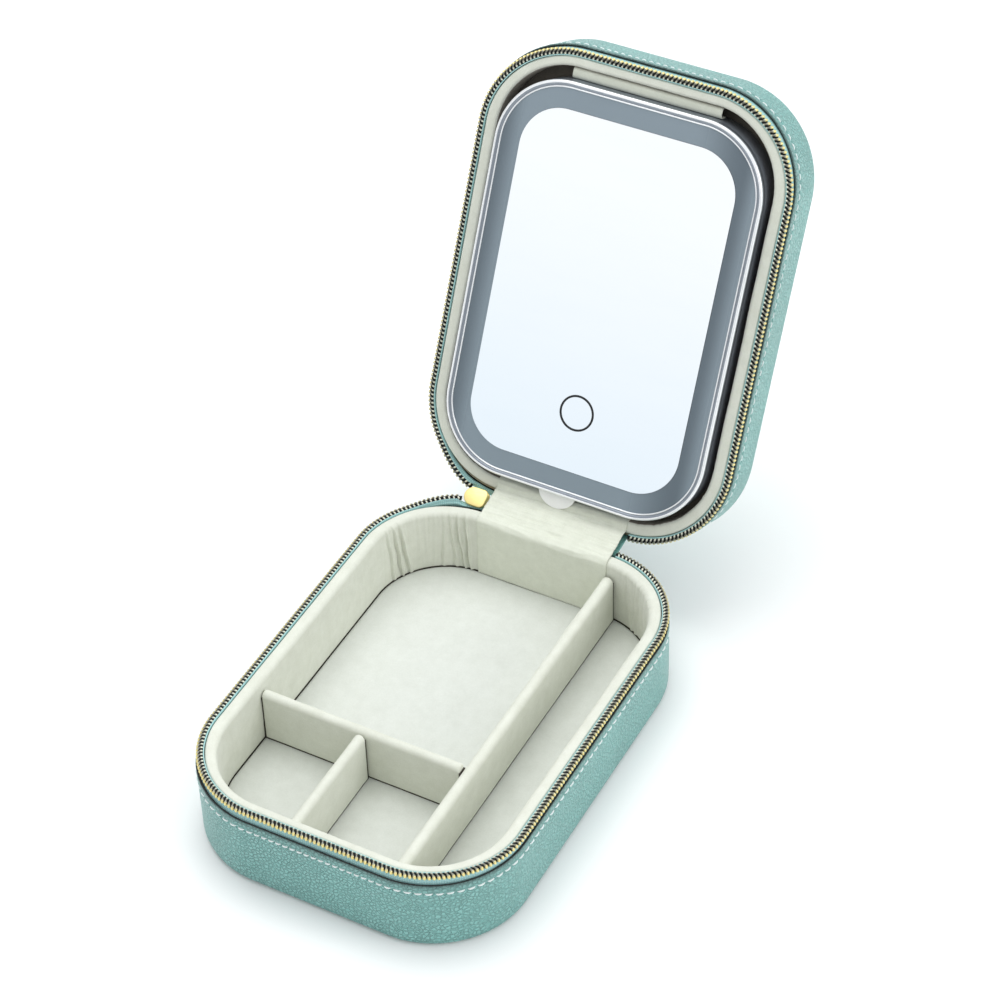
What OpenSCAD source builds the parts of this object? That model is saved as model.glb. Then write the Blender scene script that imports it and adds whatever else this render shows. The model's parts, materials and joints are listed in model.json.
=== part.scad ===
// Zip-around travel vanity case: a shallow padded tray with dividers and a lid that holds a lit mirror.
// Millimetres. X runs along the hinge, +Y towards the hinge, +Z up. The origin is the middle of the
// underside of the base. The lid is drawn fully open, the way the case stands on a dressing table.

/* [Case] */
// Width of the case over the leather, along the hinge
case_w = 123; // [112:1:150]
// Length of the case over the leather, from the front to the hinge
case_l = 171; // [160:1:200]
// Radius of the upright corners, over the leather
corner_r = 35.2; // [33:0.2:38]
// Height of the base, from the table to the zip line
base_h = 34.1; // [30:0.5:50]
// Depth of the lid, from the zip line to its outer face
lid_h = 24.2; // [22:0.2:34]
// Angle that the lid opens through
open_angle = 115.65; // [95:0.05:118]
// Distance of the hinge line behind the rear leather
hinge_back = 2.7; // [2.4:0.1:3]
// Distance of the hinge line below the zip line
hinge_drop = 2.6; // [2.4:0.1:3]

/* [Walls] */
// Thickness of the leather skin on the side walls
leather_t = 0.9; // [0.7:0.1:1.2]
// Thickness of the stiff board in the side walls
board_t = 2.6; // [2.2:0.1:3.2]
// Thickness of the stiff board in the floor of each half
floor_t = 1.8; // [1.4:0.1:2.6]
// Thickness of the leather-covered panel on the outer face of each half
panel_t = 2.3; // [1.8:0.1:3]
// Distance that the outer panel is set in from the side leather
panel_inset = 0.4; // [0.2:0.1:0.8]
// Radius of the outer panel's edge
panel_edge_r = 1.2; // [0.8:0.1:1.6]
// Distance of the leather's top edge below the zip line
leather_drop = 3.5; // [2.8:0.1:4.5]
// Distance of the stitch line below the zip line
stitch_drop = 7.5; // [6.5:0.1:9]
// Depth of the groove that the stitching lies in
stitch_depth = 0.4; // [0.3:0.05:0.5]
// Thickness of the sewing thread
thread_w = 0.7; // [0.5:0.1:0.9]

/* [Zip] */
// Thickness of the zip's woven tape
tape_t = 0.55; // [0.4:0.05:0.7]
// Distance that the tape reaches below the zip line, under the leather
tape_reach = 11; // [10:0.5:13]
// Spacing of the teeth
tooth_pitch = 1.61; // [1.4:0.01:2.4]
// Width of a tooth, across the chain
tooth_w = 1.9; // [1.6:0.1:2.2]
// Height of a tooth
tooth_h = 1.5; // [1.3:0.1:1.7]
// Length of a tooth, along the chain
tooth_l = 0.95; // [0.8:0.05:1.1]
// Distance that the chain's end stops short of the straight stretch at the hinge
chain_short = 1.7; // [1.2:0.1:4]
// Length of the slider
slider_l = 9; // [8.4:0.1:9.4]
// Clearance between the parked slider and the first tooth of its chain
slider_end_gap = 0.6; // [0.3:0.1:2]
// Width of the slider
slider_w = 7.2; // [6.8:0.1:7.4]
// Thickness of the slider over both plates
slider_t = 3.4; // [3.2:0.1:3.5]
// Thickness of each of the slider's plates
slider_plate_t = 0.8; // [0.6:0.05:0.9]
// Radius of the pull's pin
pin_r = 0.7; // [0.6:0.05:0.8]
// Length of the pull below its pin
pull_l = 15; // [11:0.5:20]
// Width of the pull
pull_w = 4.6; // [4:0.1:4.8]
// Thickness of the pull
pull_t = 1; // [0.8:0.1:1.2]

/* [Lining and dividers] */
// Thickness of the padded lining on the side walls
lining_t = 4; // [3.5:0.1:4.6]
// Radius of the rim's inner edge
rim_r = 2; // [1.5:0.1:2.4]
// Distance of the padded rim's top below the zip line
rim_drop = 0.9; // [0.8:0.1:1.4]
// Thickness of the padded floor in the base
floor_pad_t = 2.5; // [2:0.1:4]
// Thickness of the long divider
long_divider_t = 4.5; // [3.5:0.1:5.5]
// Distance of the long divider right of the middle
long_divider_x = 28; // [22:0.5:34]
// Distance of the long divider's top below the zip line
long_divider_drop = 6; // [5:0.1:10]
// Thickness of the cross divider
cross_divider_t = 4; // [3:0.1:5]
// Distance of the cross divider in front of the middle
cross_divider_y = 29; // [20:1:40]
// Distance of the cross divider's top below the zip line
cross_divider_drop = 5; // [4.6:0.1:9]
// Thickness of the short divider
short_divider_t = 4; // [3:0.1:5]
// Distance of the short divider left of the middle
short_divider_x = 13; // [6:0.5:20]
// Distance of the short divider's top below the zip line
short_divider_drop = 5.5; // [4.6:0.1:9]

/* [Hinge fabric] */
// Distance that the inner flap reaches past the straight stretch at the hinge, on each side
flap_past = 0.3; // [-6:0.1:0.6]
// Thickness of the flap's fabric
flap_t = 0.5; // [0.4:0.05:0.6]
// Distance that the spine strip reaches past the straight stretch at the hinge, on each side
spine_past = 0.7; // [-6:0.1:0.9]
// Thickness of the leather spine strip
spine_t = 0.5; // [0.4:0.05:0.55]
// Distance that the mirror's strap reaches past the straight stretch at the far end, on each side
strap_past = 2.7; // [-6:0.1:3.5]

/* [Mirror] */
// Clearance between the mirror frame and the lining, on each side
mirror_side_gap = 1.75; // [1:0.05:5]
// Clearance between the mirror frame and the lining at the hinge, where the flap is tucked in
mirror_hinge_gap = 2.3; // [2:0.1:5]
// Clearance between the mirror frame and the lining at the far end, which the strap crosses
mirror_far_gap = 4.5; // [3:0.1:7]
// How much smaller the frame's corner radius is than the lining's
mirror_corner_less = 1.2; // [0.4:0.1:3]
// Distance that the mirror frame stands above the lid's zip line
mirror_proud = 3.2; // [2.6:0.1:3.4]
// Thickness of the mirror module
mirror_t = 13.2; // [12.8:0.1:13.8]
// Thickness of the frame's side wall
frame_t = 2; // [1.8:0.1:2.4]
// Width of the light panel round the glass
light_w = 8; // [7:0.1:9]
// Thickness of the light panel
light_t = 1.6; // [1.2:0.1:1.8]
// Distance of the light panel below the frame's front edge
light_drop = 0.5; // [0.3:0.1:0.8]
// Thickness of the mirror glass
glass_t = 1.8; // [1.5:0.1:2]
// Outer diameter of the touch ring
touch_d = 13.6; // [10:0.2:18]
// Width of the touch ring's line
touch_line = 0.8; // [0.5:0.1:1.2]
// Distance of the touch ring from the middle of the mirror, towards the hinge
touch_y = 42.3; // [34:0.5:46]
// Diameter of the rounded pull tab
tab_d = 13.5; // [10:0.5:16]
// Distance that the pull tab reaches past the mirror frame
tab_reach = 6; // [4:0.1:6.2]
// Distance of the pull tab left of the middle
tab_x = 1.6; // [0:0.1:4]
// Thickness of the pull tab
tab_t = 0.6; // [0.4:0.1:0.7]

/* [Inside the mirror] */
// Thickness of the rear cover
cover_t = 1.2; // [1:0.1:1.6]
// Thickness of the plate behind the glass
carrier_t = 1.2; // [1:0.1:1.6]
// Thickness of the light board
led_board_t = 1; // [0.8:0.1:1.2]
// Width of the light board's ring
led_board_w = 9.4; // [8.8:0.1:9.6]
// Distance of the light board behind the frame's front edge
led_board_back = 6.5; // [6.2:0.1:6.8]
// Number of lamps on the light board's long side
leds_long = 7; // [3:1:12]
// Number of lamps on the light board's short side
leds_short = 4; // [2:1:7]
// Width of the battery
battery_w = 36; // [24:1:44]
// Length of the battery
battery_l = 50; // [40:1:56]
// Thickness of the battery
battery_t = 4.6; // [3:0.1:5.4]
// Width of the control board
control_w = 34; // [26:1:44]
// Length of the control board
control_l = 22; // [20:1:26]
// Diameter of the magnets
magnet_d = 8; // [6:0.5:10]
// Thickness of the magnets and their catch plates
magnet_t = 1.5; // [1:0.1:2]
// Distance of the magnets from the middle, along the hinge
magnet_x = 34; // [30:0.5:36]

/* [Hidden] */
$fn = 64;

glue = 0.06;                    // line of glue between two bonded layers
run_gap = 0.05;                 // radial clearance of a pin that turns
overcut = 1;                    // how far a cutter runs past what it cuts
teal = "#7fb5ae";
teal_dark = "#2f6f6c";
cream = "#d9dbd0";
gold = "#d8b76a";

// Insets are measured inwards from the side leather.
board_in = leather_t + board_t;
lining_in = board_in + lining_t;
rim_lap = 0.5;                  // the padded rim laps over the top of the board by this much
rim_t = 2.2;                    // thickness of the padding on top of the board
chain_shift = 0.3;              // the teeth stand this far inside the middle of the tape
lip_in = board_in - rim_lap;
lip_r = 0.8;
board_drop = rim_drop + rim_t;
chain_in = leather_t + tape_t / 2 + chain_shift;
teeth_top = 0.1;                // each row of teeth stops this far short of the zip line
teeth_bottom = teeth_top + tooth_h;
cord_r = 0.45;
side_y = case_l / 2;
flat_x = case_w / 2 - corner_r; // half length of the straight stretch at the hinge
chain_end_right = flat_x + chain_short; // from the middle of the case to the ends of the chain
chain_end_left = chain_end_right + slider_l + slider_end_gap; // the slider is parked at this end
flap_w = 2 * (flat_x + flap_past);
spine_w = 2 * (flat_x + spine_past);
strap_w = 2 * (flat_x + strap_past);
mirror_w = case_w - 2 * (lining_in + mirror_side_gap);
mirror_l = case_l - 2 * lining_in - mirror_hinge_gap - mirror_far_gap;
mirror_r = corner_r - lining_in - mirror_corner_less;
mirror_shift = (mirror_far_gap - mirror_hinge_gap) / 2; // towards the hinge from the lid's middle
base_pad_front = base_h - panel_t - floor_t - floor_pad_t;
mirror_back = mirror_t - mirror_proud;
mirror_rest_gap = 0.1;
lid_pad_front = mirror_back + mirror_rest_gap;
hinge_y = side_y + hinge_back;
hinge_z = base_h - hinge_drop;
base_side = 1;                  // the hinge is at +Y in the base
lid_side = -1;                  // and at -Y in the lid's own frame
recess_board_t = 2.4;           // the covered board under the mirror, with its foam
recess_edge_w = 4;
recess_block_w = 12;

// Places a lid piece, drawn in the lid's own frame with its open side up, in the open case.
module in_lid() {
    translate([0, hinge_y, hinge_z]) rotate([-open_angle, 0, 0])
        translate([0, -hinge_y, base_h - hinge_z]) rotate([180, 0, 0]) children();
}

module in_base() {
    translate([0, 0, base_h]) children();
}

// Places a piece of the mirror module, drawn behind the frame's front edge, in the lid.
module in_mirror() {
    in_lid() translate([0, -mirror_shift, mirror_proud]) children();
}

// A rectangle with round corners, exact at every inset.
module rounded_outline(w, l, r) {
    square([w - 2 * r, l], center = true);
    square([w, l - 2 * r], center = true);
    for (x = [-1, 1], y = [-1, 1]) translate([x * (w / 2 - r), y * (l / 2 - r)]) circle(r);
}

// A plate from z0 up to z1, with its edge at the given inset from a w by l outline.
module plate(w, l, r, inset, z0, z1) {
    translate([0, 0, z0]) linear_extrude(z1 - z0)
        rounded_outline(w - 2 * inset, l - 2 * inset, r - inset);
}

// Runs a flat profile round a rounded rectangle. The profile's x is the inset and its y the height.
module around(w, l, r) {
    for (k = [0:3]) {
        a = (k % 2 == 0 ? w : l) / 2;
        b = (k % 2 == 0 ? l : w) / 2;
        rotate(90 * k) translate([a, b - r, 0]) rotate([90, 0, 0])
            linear_extrude(2 * (b - r)) mirror([1, 0]) children();
        rotate(90 * k) translate([a - r, b - r, 0])
            rotate_extrude(angle = 90) translate([r, 0]) mirror([1, 0]) children();
    }
}

module around_case() {
    around(case_w, case_l, corner_r) children();
}

module around_mirror() {
    around(mirror_w, mirror_l, mirror_r) children();
}

// A flat rectangle between two insets and two heights.
module band(in0, in1, z0, z1) {
    translate([in0, z0]) square([in1 - in0, z1 - z0]);
}

// ---- pieces that both halves share, drawn with the zip line at z = 0 ----

module outer_panel(h) {
    z0 = -h;
    z1 = -h + panel_t;
    color(teal) {
        plate(case_w, case_l, corner_r, panel_inset + panel_edge_r, z0, z1);
        around_case() {
            intersection() {
                translate([panel_inset + panel_edge_r, z0 + panel_edge_r]) circle(panel_edge_r);
                band(panel_inset, panel_inset + 2 * panel_edge_r, z0, z1);
            }
            band(panel_inset, panel_inset + 2 * panel_edge_r, z0 + panel_edge_r, z1);
        }
    }
}

module board_tray(h) {
    z0 = -h + panel_t + glue;
    z1 = -h + panel_t + floor_t;
    color("#9a8f7c") {
        plate(case_w, case_l, corner_r, leather_t + glue, z0, z1);
        around_case() {
            band(leather_t + glue, board_in, z0, -tape_reach - glue);
            band(leather_t + tape_t + 2 * glue, board_in, z0, -board_drop);
        }
    }
}

module wall_leather(h) {
    color(teal) around_case() difference() {
        band(0, leather_t, -h + panel_t + glue, -leather_drop);
        band(-overcut, stitch_depth, -stitch_drop - thread_w / 2 - glue,
            -stitch_drop + thread_w / 2 + glue);
    }
}

module stitch_thread() {
    color("#e8efe9") around_case()
        band(glue, stitch_depth - glue, -stitch_drop - thread_w / 2, -stitch_drop + thread_w / 2);
}

// Cuts away the stretch along the hinge that the zip doesn't cover.
module hinge_gap(side, left, right) {
    difference() {
        children();
        translate([-left, side > 0 ? side_y - corner_r : -side_y - overcut, -tape_reach - overcut])
            cube([left + right, corner_r + overcut, tape_reach + 2 * overcut]);
    }
}

module zip_tape(side) {
    color(teal_dark) hinge_gap(side, chain_end_right, chain_end_right) around_case()
        band(leather_t + glue, leather_t + tape_t, -tape_reach, -teeth_bottom - glue);
}

// One tooth, centred on the chain and standing across it. The chain runs along Y.
module tooth() {
    translate([-tooth_w / 2, -tooth_l / 2, -teeth_bottom]) cube([tooth_w, tooth_l, tooth_h]);
}

module teeth_along(length) {
    count = floor(length / tooth_pitch);
    for (i = [0:count - 1]) translate([0, (i + 0.5) * length / count - length / 2, 0]) tooth();
}

// The teeth on one corner. From and to are the part of the quarter turn that has teeth, in degrees.
module teeth_round(from, to) {
    r = corner_r - chain_in;
    count = floor(r * (to - from) * PI / 180 / tooth_pitch);
    for (i = [0:count - 1]) rotate(from + (i + 0.5) * (to - from) / count)
        translate([r, 0, 0]) tooth();
}

// Angle on the hinge corners at which the chain ends.
function end_angle(x) = acos((x - flat_x) / (corner_r - chain_in));

module zip_teeth(side) {
    long_run = case_l - 2 * corner_r;
    short_run = case_w - 2 * corner_r;
    left = end_angle(chain_end_left);
    right = end_angle(chain_end_right);
    color(gold) {
        for (x = [-1, 1]) translate([x * (case_w / 2 - chain_in), 0, 0]) teeth_along(long_run);
        translate([0, -side * (side_y - chain_in), 0]) rotate(90) teeth_along(short_run);
        for (x = [-1, 1]) translate([x * flat_x, -side * (side_y - corner_r), 0])
            rotate(x > 0 ? (side > 0 ? -90 : 0) : (side > 0 ? 180 : 90)) teeth_round(0, 90);
        translate([flat_x, side * (side_y - corner_r), 0])
            if (side > 0) teeth_round(0, right); else teeth_round(-right, 0);
        translate([-flat_x, side * (side_y - corner_r), 0]) rotate(180)
            if (side > 0) teeth_round(-left, 0); else teeth_round(0, left);
        hinge_gap(side, chain_end_left, chain_end_right) around_case()
            translate([chain_in, -(teeth_top + teeth_bottom) / 2]) circle(cord_r);
    }
}

// The padded lining of the side wall, with its rounded rim. Pad_front is the floor's depth.
module lining(pad_front) {
    color(cream) around_case() {
        band(board_in + glue, lining_in, -pad_front + glue, -rim_drop - rim_r);
        band(board_in + glue, lining_in - rim_r, -rim_drop - 2 * rim_r, -rim_drop);
        band(lip_in + lip_r, board_in + lip_r, -board_drop + glue, -rim_drop);
        band(lip_in, board_in + lip_r, -board_drop + glue, -rim_drop - lip_r);
        translate([lining_in - rim_r, -rim_drop - rim_r]) circle(rim_r);
        translate([lip_in + lip_r, -rim_drop - lip_r]) circle(lip_r);
    }
}

// ---- base ----

module base_bottom_panel() { in_base() outer_panel(base_h); }
module base_board_tray() { in_base() board_tray(base_h); }
module base_wall_leather() { in_base() wall_leather(base_h); }
module base_stitch_thread() { in_base() stitch_thread(); }
module base_zip_tape() { in_base() zip_tape(base_side); }
module base_zip_teeth() { in_base() zip_teeth(base_side); }
module base_lining() { in_base() lining(base_pad_front); }

module base_floor_pad() {
    in_base() color(cream) plate(case_w, case_l, corner_r, board_in + glue,
        -base_h + panel_t + floor_t + glue, -base_pad_front);
}

// Half length of the tray at a distance x from the middle, between the linings.
function tray_reach(x) = side_y - corner_r
    + sqrt(pow(corner_r - lining_in, 2) - pow(max(0, abs(x) - flat_x), 2));
// Half width of the tray at a distance y from the middle, between the linings.
function tray_width(y) = flat_x
    + sqrt(pow(corner_r - lining_in, 2) - pow(max(0, abs(y) - side_y + corner_r), 2));

// A fabric-covered board with a round top, standing on the floor along Y from y0 to y1.
module divider(t, drop, y0, y1) {
    z0 = base_h - base_pad_front + glue;
    z1 = base_h - drop;
    color(cream) translate([0, y1, 0]) rotate([90, 0, 0]) linear_extrude(y1 - y0) {
        translate([-t / 2, z0]) square([t, z1 - t / 2 - z0]);
        translate([0, z1 - t / 2]) circle(t / 2);
    }
}

long_divider_front = tray_reach(long_divider_x + long_divider_t / 2) - glue;
long_divider_back = min(long_divider_front, side_y - lining_in - glue - flap_t - glue);
cross_divider_left = -tray_width(cross_divider_y + cross_divider_t / 2) + glue;
cross_divider_right = long_divider_x - long_divider_t / 2 - glue;

module long_divider() {
    translate([long_divider_x, 0, 0])
        divider(long_divider_t, long_divider_drop, -long_divider_front, long_divider_back);
}

module cross_divider() {
    translate([0, -cross_divider_y, 0]) rotate(-90)
        divider(cross_divider_t, cross_divider_drop, cross_divider_left, cross_divider_right);
}

module short_divider() {
    translate([-short_divider_x, 0, 0])
        divider(short_divider_t, short_divider_drop,
            -tray_reach(short_divider_x + short_divider_t / 2) + glue,
            -cross_divider_y - cross_divider_t / 2 - glue);
}

// ---- fabric across the hinge ----

// Turns a lid position, inset from the hinge leather and depth behind the zip line, into [y, z].
function lid_point(inset, depth) =
    let (a = 180 - open_angle,
         v = inset + hinge_back,
         y = v * cos(a) + (depth + hinge_drop) * sin(a),
         z = v * sin(a) - (depth + hinge_drop) * cos(a))
    [hinge_y + y, hinge_z + z];
// A point of the base at an inset from the hinge leather and a depth below the zip line.
function base_point(inset, depth) = [side_y - inset, base_h - depth];

function normal(a, b) = let (d = b - a, n = norm(d)) [-d[1] / n, d[0] / n];
function path_normal(p, i) =
    i == 0 ? normal(p[0], p[1]) :
    i == len(p) - 1 ? normal(p[i - 1], p[i]) :
    let (m = normal(p[i - 1], p[i]) + normal(p[i], p[i + 1])) m * 2 / (m * m);

// A ribbon of cloth of thickness t along a path in the YZ plane, w wide along X.
module ribbon(p, t, w) {
    n = [for (i = [0:len(p) - 1]) path_normal(p, i)];
    rotate([90, 0, 90]) linear_extrude(w, center = true) polygon(concat(
        [for (i = [0:len(p) - 1]) p[i] + n[i] * t / 2],
        [for (i = [len(p) - 1:-1:0]) p[i] - n[i] * t / 2]));
}

flap_in = lining_in + glue + flap_t / 2;        // the flap's middle, on a lined wall
flap_over = rim_drop - glue - flap_t / 2;       // the flap's middle, on top of a rim
flap_bend = rim_r + glue + flap_t / 2;
seam_below = 0.5;                               // between the rim's round edge and the flap's seam
flap_seam = rim_drop + rim_r + seam_below;      // depth at which the glued part of the flap starts
tuck_gap = 1;                                   // between the tucked end and the recess board
flap_tuck = lid_pad_front - tuck_gap;           // depth that it reaches beside the mirror
bend_steps = 6;

module hinge_flap_base() {
    color(cream) ribbon([base_point(flap_in, base_pad_front - glue),
        base_point(flap_in, flap_seam + glue)], flap_t, flap_w);
}

module hinge_flap_lid() {
    color(cream) ribbon([lid_point(flap_in, flap_tuck), lid_point(flap_in, flap_seam + glue)],
        flap_t, flap_w);
}

// Insets and depths along one rim, from the seam over the round edge to its outer lip.
rim_path = concat([[flap_in, flap_seam]],
    [for (i = [0:bend_steps]) let (a = 90 * i / bend_steps)
        [flap_in - flap_bend * (1 - cos(a)), flap_over + flap_bend * (1 - sin(a))]],
    [[lip_in + lip_r, flap_over]]);

module hinge_flap_bridge() {
    there = [for (q = rim_path) base_point(q[0], q[1])];
    back = [for (i = [len(rim_path) - 1:-1:0]) lid_point(rim_path[i][0], rim_path[i][1])];
    color(cream) ribbon(concat(there, back), flap_t, flap_w);
}

spine_in = leather_t + glue + spine_t / 2;      // the strip's middle, in the tape's pocket
spine_out = 0.4;                                // length of the strip that shows above the leather
spine_bend = leather_drop - spine_out;          // depth at which it leaves the pocket

module spine_strip() {
    color(teal) ribbon([base_point(spine_in, tape_reach), base_point(spine_in, spine_bend),
        lid_point(spine_in, spine_bend), lid_point(spine_in, tape_reach)], spine_t, spine_w);
}

// ---- zip slider ----

slider_x = -chain_end_right - slider_l / 2;
slider_gap = 0.2;                               // clearance between the slider and the tape
slider_rise = 0.3;                              // the slider's top is this far above the zip line
slider_y = side_y - leather_t + slider_gap + slider_w / 2;
slider_z = base_h + slider_rise - slider_t / 2;
slider_lip = 0.45;                              // depth of the bent-in edges
slider_post_r = 1;
weld = 0.2;                                     // how far two parts of one casting run together
bail_t = 1.1;
bail_r = 1.6;
bail_z = slider_z - slider_t / 2 - bail_r - glue;
cheek_t = 0.8;
cheek_wall = 0.45;
cheek_r = pin_r + cheek_wall;
cheek_gap = 0.15;
neck_gap = 0.4;                                 // between the loop and the neck of the pull

// One plate of the slider: a square heel and a round nose, with bent-in edges that guide the chain.
module slider_plate(up) {
    nose = slider_w / 2;
    translate([0, 0, up ? slider_t / 2 - slider_plate_t : -slider_t / 2])
        linear_extrude(slider_plate_t) {
            translate([-slider_l / 2 + nose, 0]) circle(nose);
            translate([-slider_l / 2 + nose, -slider_w / 2]) square([slider_l - nose, slider_w]);
        }
    for (y = [-1, 1]) translate([0, y * (slider_w - slider_plate_t) / 2,
        (up ? 1 : -1) * (slider_t / 2 - slider_plate_t - slider_lip / 2 + weld / 2)])
        cube([slider_l - 2 * nose, slider_plate_t, slider_lip + weld], center = true);
}

module zip_slider() {
    color(gold) translate([slider_x, slider_y, slider_z]) {
        slider_plate(true);
        slider_plate(false);
        translate([-slider_l / 2 + slider_w / 2 - slider_post_r, 0, 0])
            cylinder(r = slider_post_r, h = slider_t - weld, center = true);
    }
}

// The loop under the slider that the pull hangs in, with its bore along Y.
module zip_bail() {
    color(gold) translate([slider_x, slider_y, bail_z]) rotate([90, 0, 0])
        linear_extrude(bail_t, center = true) difference() {
            union() {
                circle(bail_r);
                translate([-bail_r, 0]) square([2 * bail_r, bail_r]);
            }
            circle(pin_r + run_gap);
        }
}

module zip_pull() {
    inner = bail_t / 2 + cheek_gap;
    neck = bail_r + neck_gap;   // the two cheeks join below the loop
    color(gold) translate([slider_x, slider_y, bail_z]) {
        rotate([90, 0, 0]) cylinder(r = pin_r, h = 2 * (inner + cheek_t), center = true);
        for (y = [-1, 1]) {
            translate([0, y * (inner + cheek_t / 2), 0]) rotate([90, 0, 0])
                cylinder(r = cheek_r, h = cheek_t, center = true);
            translate([-pull_t / 2, y * (inner + cheek_t / 2) - cheek_t / 2, -neck - weld])
                cube([pull_t, cheek_t, neck + weld]);
        }
        rotate([90, 0, 90]) linear_extrude(pull_t, center = true) {
            translate([-pull_w / 2, -pull_l + pull_w / 2])
                square([pull_w, pull_l - neck - pull_w / 2]);
            translate([0, -pull_l + pull_w / 2]) circle(pull_w / 2);
        }
    }
}

// ---- lid ----

module lid_top_panel() { in_lid() outer_panel(lid_h); }
module lid_board_tray() { in_lid() board_tray(lid_h); }
module lid_wall_leather() { in_lid() wall_leather(lid_h); }
module lid_stitch_thread() { in_lid() stitch_thread(); }
module lid_zip_tape() { in_lid() zip_tape(lid_side); }
module lid_zip_teeth() { in_lid() zip_teeth(lid_side); }
module lid_lining() { in_lid() lining(lid_pad_front); }

// Middle of each magnet, towards the hinge from the middle of the mirror.
magnet_y = mirror_l / 2 - mirror_r - magnet_d;

module at_magnets() {
    for (x = [-1, 1]) translate([x * magnet_x, -magnet_y, 0]) children();
}

// The covered board under the mirror. It stands on its turned-down edge, with a block under each
// catch plate and one across the middle.
module lid_recess_pad() {
    back = -lid_h + panel_t + floor_t + glue;
    in_lid() color(cream) difference() {
        union() {
            plate(case_w, case_l, corner_r, board_in + glue, -lid_pad_front - recess_board_t,
                -lid_pad_front);
            around_case()
                band(board_in + glue, board_in + recess_edge_w, back, -lid_pad_front);
            translate([-magnet_x - magnet_d, -recess_block_w / 2, back])
                cube([2 * (magnet_x + magnet_d), recess_block_w, -lid_pad_front - back]);
            translate([0, -mirror_shift, back]) at_magnets()
                cylinder(d = magnet_d + 2 * recess_board_t, h = -lid_pad_front - back);
        }
        translate([0, -mirror_shift, -lid_pad_front - magnet_t - glue]) at_magnets()
            cylinder(d = magnet_d + 2 * glue, h = magnet_t + overcut);
    }
}

module catch_plates() {
    in_lid() color("silver") translate([0, -mirror_shift, -lid_pad_front - magnet_t])
        at_magnets() cylinder(d = magnet_d, h = magnet_t);
}

// The strap at the far end of the mirror: up the lining, over the gap and down the frame's side.
module mirror_strap() {
    corner = corner_r - lining_in;
    fall = corner - sqrt(corner * corner - pow(max(0, strap_past), 2)); // of the round corner, there
    wall = side_y - lining_in - fall - glue - flap_t / 2;
    frame_side = mirror_l / 2 - mirror_shift + glue + flap_t / 2;
    top = 1.6;                  // depth of the strap where it crosses the gap
    bend = 0.8;
    low = 6.5;                  // depth that it reaches on the frame
    in_lid() color(cream) ribbon([[frame_side, -low], [frame_side, -top - bend],
        [frame_side + bend, -top], [wall - bend, -top], [wall, -top - bend], [wall, -low]],
        flap_t, strap_w);
}

// ---- mirror module, drawn with the frame's front edge at z = 0 ----

bead_r = frame_t / 2;
touch_print_t = 0.1;
slot_w = 9.4;
slot_h = 3.6;
socket_w = 9;
socket_h = 3.1;
socket_l = 7.3;
control_t = 1;
control_back = mirror_t - cover_t - glue;      // the control board lies against the rear cover
socket_mid = control_back - control_t - glue - socket_h / 2;
front_stack = light_drop + light_t;             // depth of the back of the light panel

module mirror_frame() {
    in_mirror() color("#c9ced2") difference() {
        around_mirror() {
            translate([bead_r, -bead_r]) circle(bead_r);
            band(0, frame_t, -mirror_t, -bead_r);
        }
        translate([0, -mirror_l / 2 + frame_t / 2, -socket_mid])
            cube([slot_w, frame_t + overcut, slot_h], center = true);
    }
}

module light_panel() {
    in_mirror() color("#9aa6b0") around_mirror()
        band(frame_t + glue, frame_t + light_w, -front_stack, -light_drop);
}

module mirror_glass() {
    in_mirror() color("#e6edf2")
        plate(mirror_w, mirror_l, mirror_r, frame_t + light_w + glue,
            -front_stack, -front_stack + glass_t);
}

module touch_ring() {
    in_mirror() color("#20242a") translate([0, -touch_y, -front_stack + glass_t])
        linear_extrude(touch_print_t) difference() {
            circle(d = touch_d);
            circle(d = touch_d - 2 * touch_line);
        }
}

led_gap = 0.5;
led_in0 = frame_t + led_gap;                    // outer edge of the light board
led_in1 = led_in0 + led_board_w;
skirt_t = 1.2;
skirt_set_in = 0.2;
skirt_in = led_in1 - skirt_t - skirt_set_in;    // the skirt stands on the board's inner edge
carrier_lap = 1;                                // the carrier runs behind the light panel by this much
post_x = mirror_w / 4 + 2;
post_y = mirror_l / 3;
post_d = 5;
screw_r = 1;
screw_head_r = 1.9;
screw_head_t = 0.8;
screw_grip = 5;                                 // length of thread in the post
carrier_back = front_stack + glue + carrier_t;
sensor_t = 0.3;
sensor_gap = 1;                                 // round the touch sensor, in the plate's hole

module at_posts() {
    for (x = [-1, 1], y = [-1, 1]) translate([x * post_x, y * post_y, 0]) children();
}

// The white plate behind the glass, with a skirt that stands on the light board and four screw posts.
module glass_carrier() {
    in_mirror() color("white") difference() {
        union() {
            plate(mirror_w, mirror_l, mirror_r, skirt_in - carrier_lap, -carrier_back,
                -front_stack - glue);
            around_mirror() band(skirt_in, skirt_in + skirt_t, -led_board_back + glue,
                -carrier_back + weld);
            translate([0, 0, -control_back]) at_posts()
                cylinder(d = post_d, h = control_back - carrier_back + weld);
        }
        translate([0, -touch_y, -carrier_back - overcut])
            cylinder(d = touch_d + 2 * sensor_gap, h = carrier_t + 2 * overcut);
        translate([0, 0, -control_back - overcut]) at_posts()
            cylinder(r = screw_r + run_gap, h = screw_grip + 2 * overcut);
    }
}

module light_board() {
    in_mirror() color("#f2f2ee") around_mirror()
        band(led_in0, led_in1, -led_board_back - led_board_t, -led_board_back);
}

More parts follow.
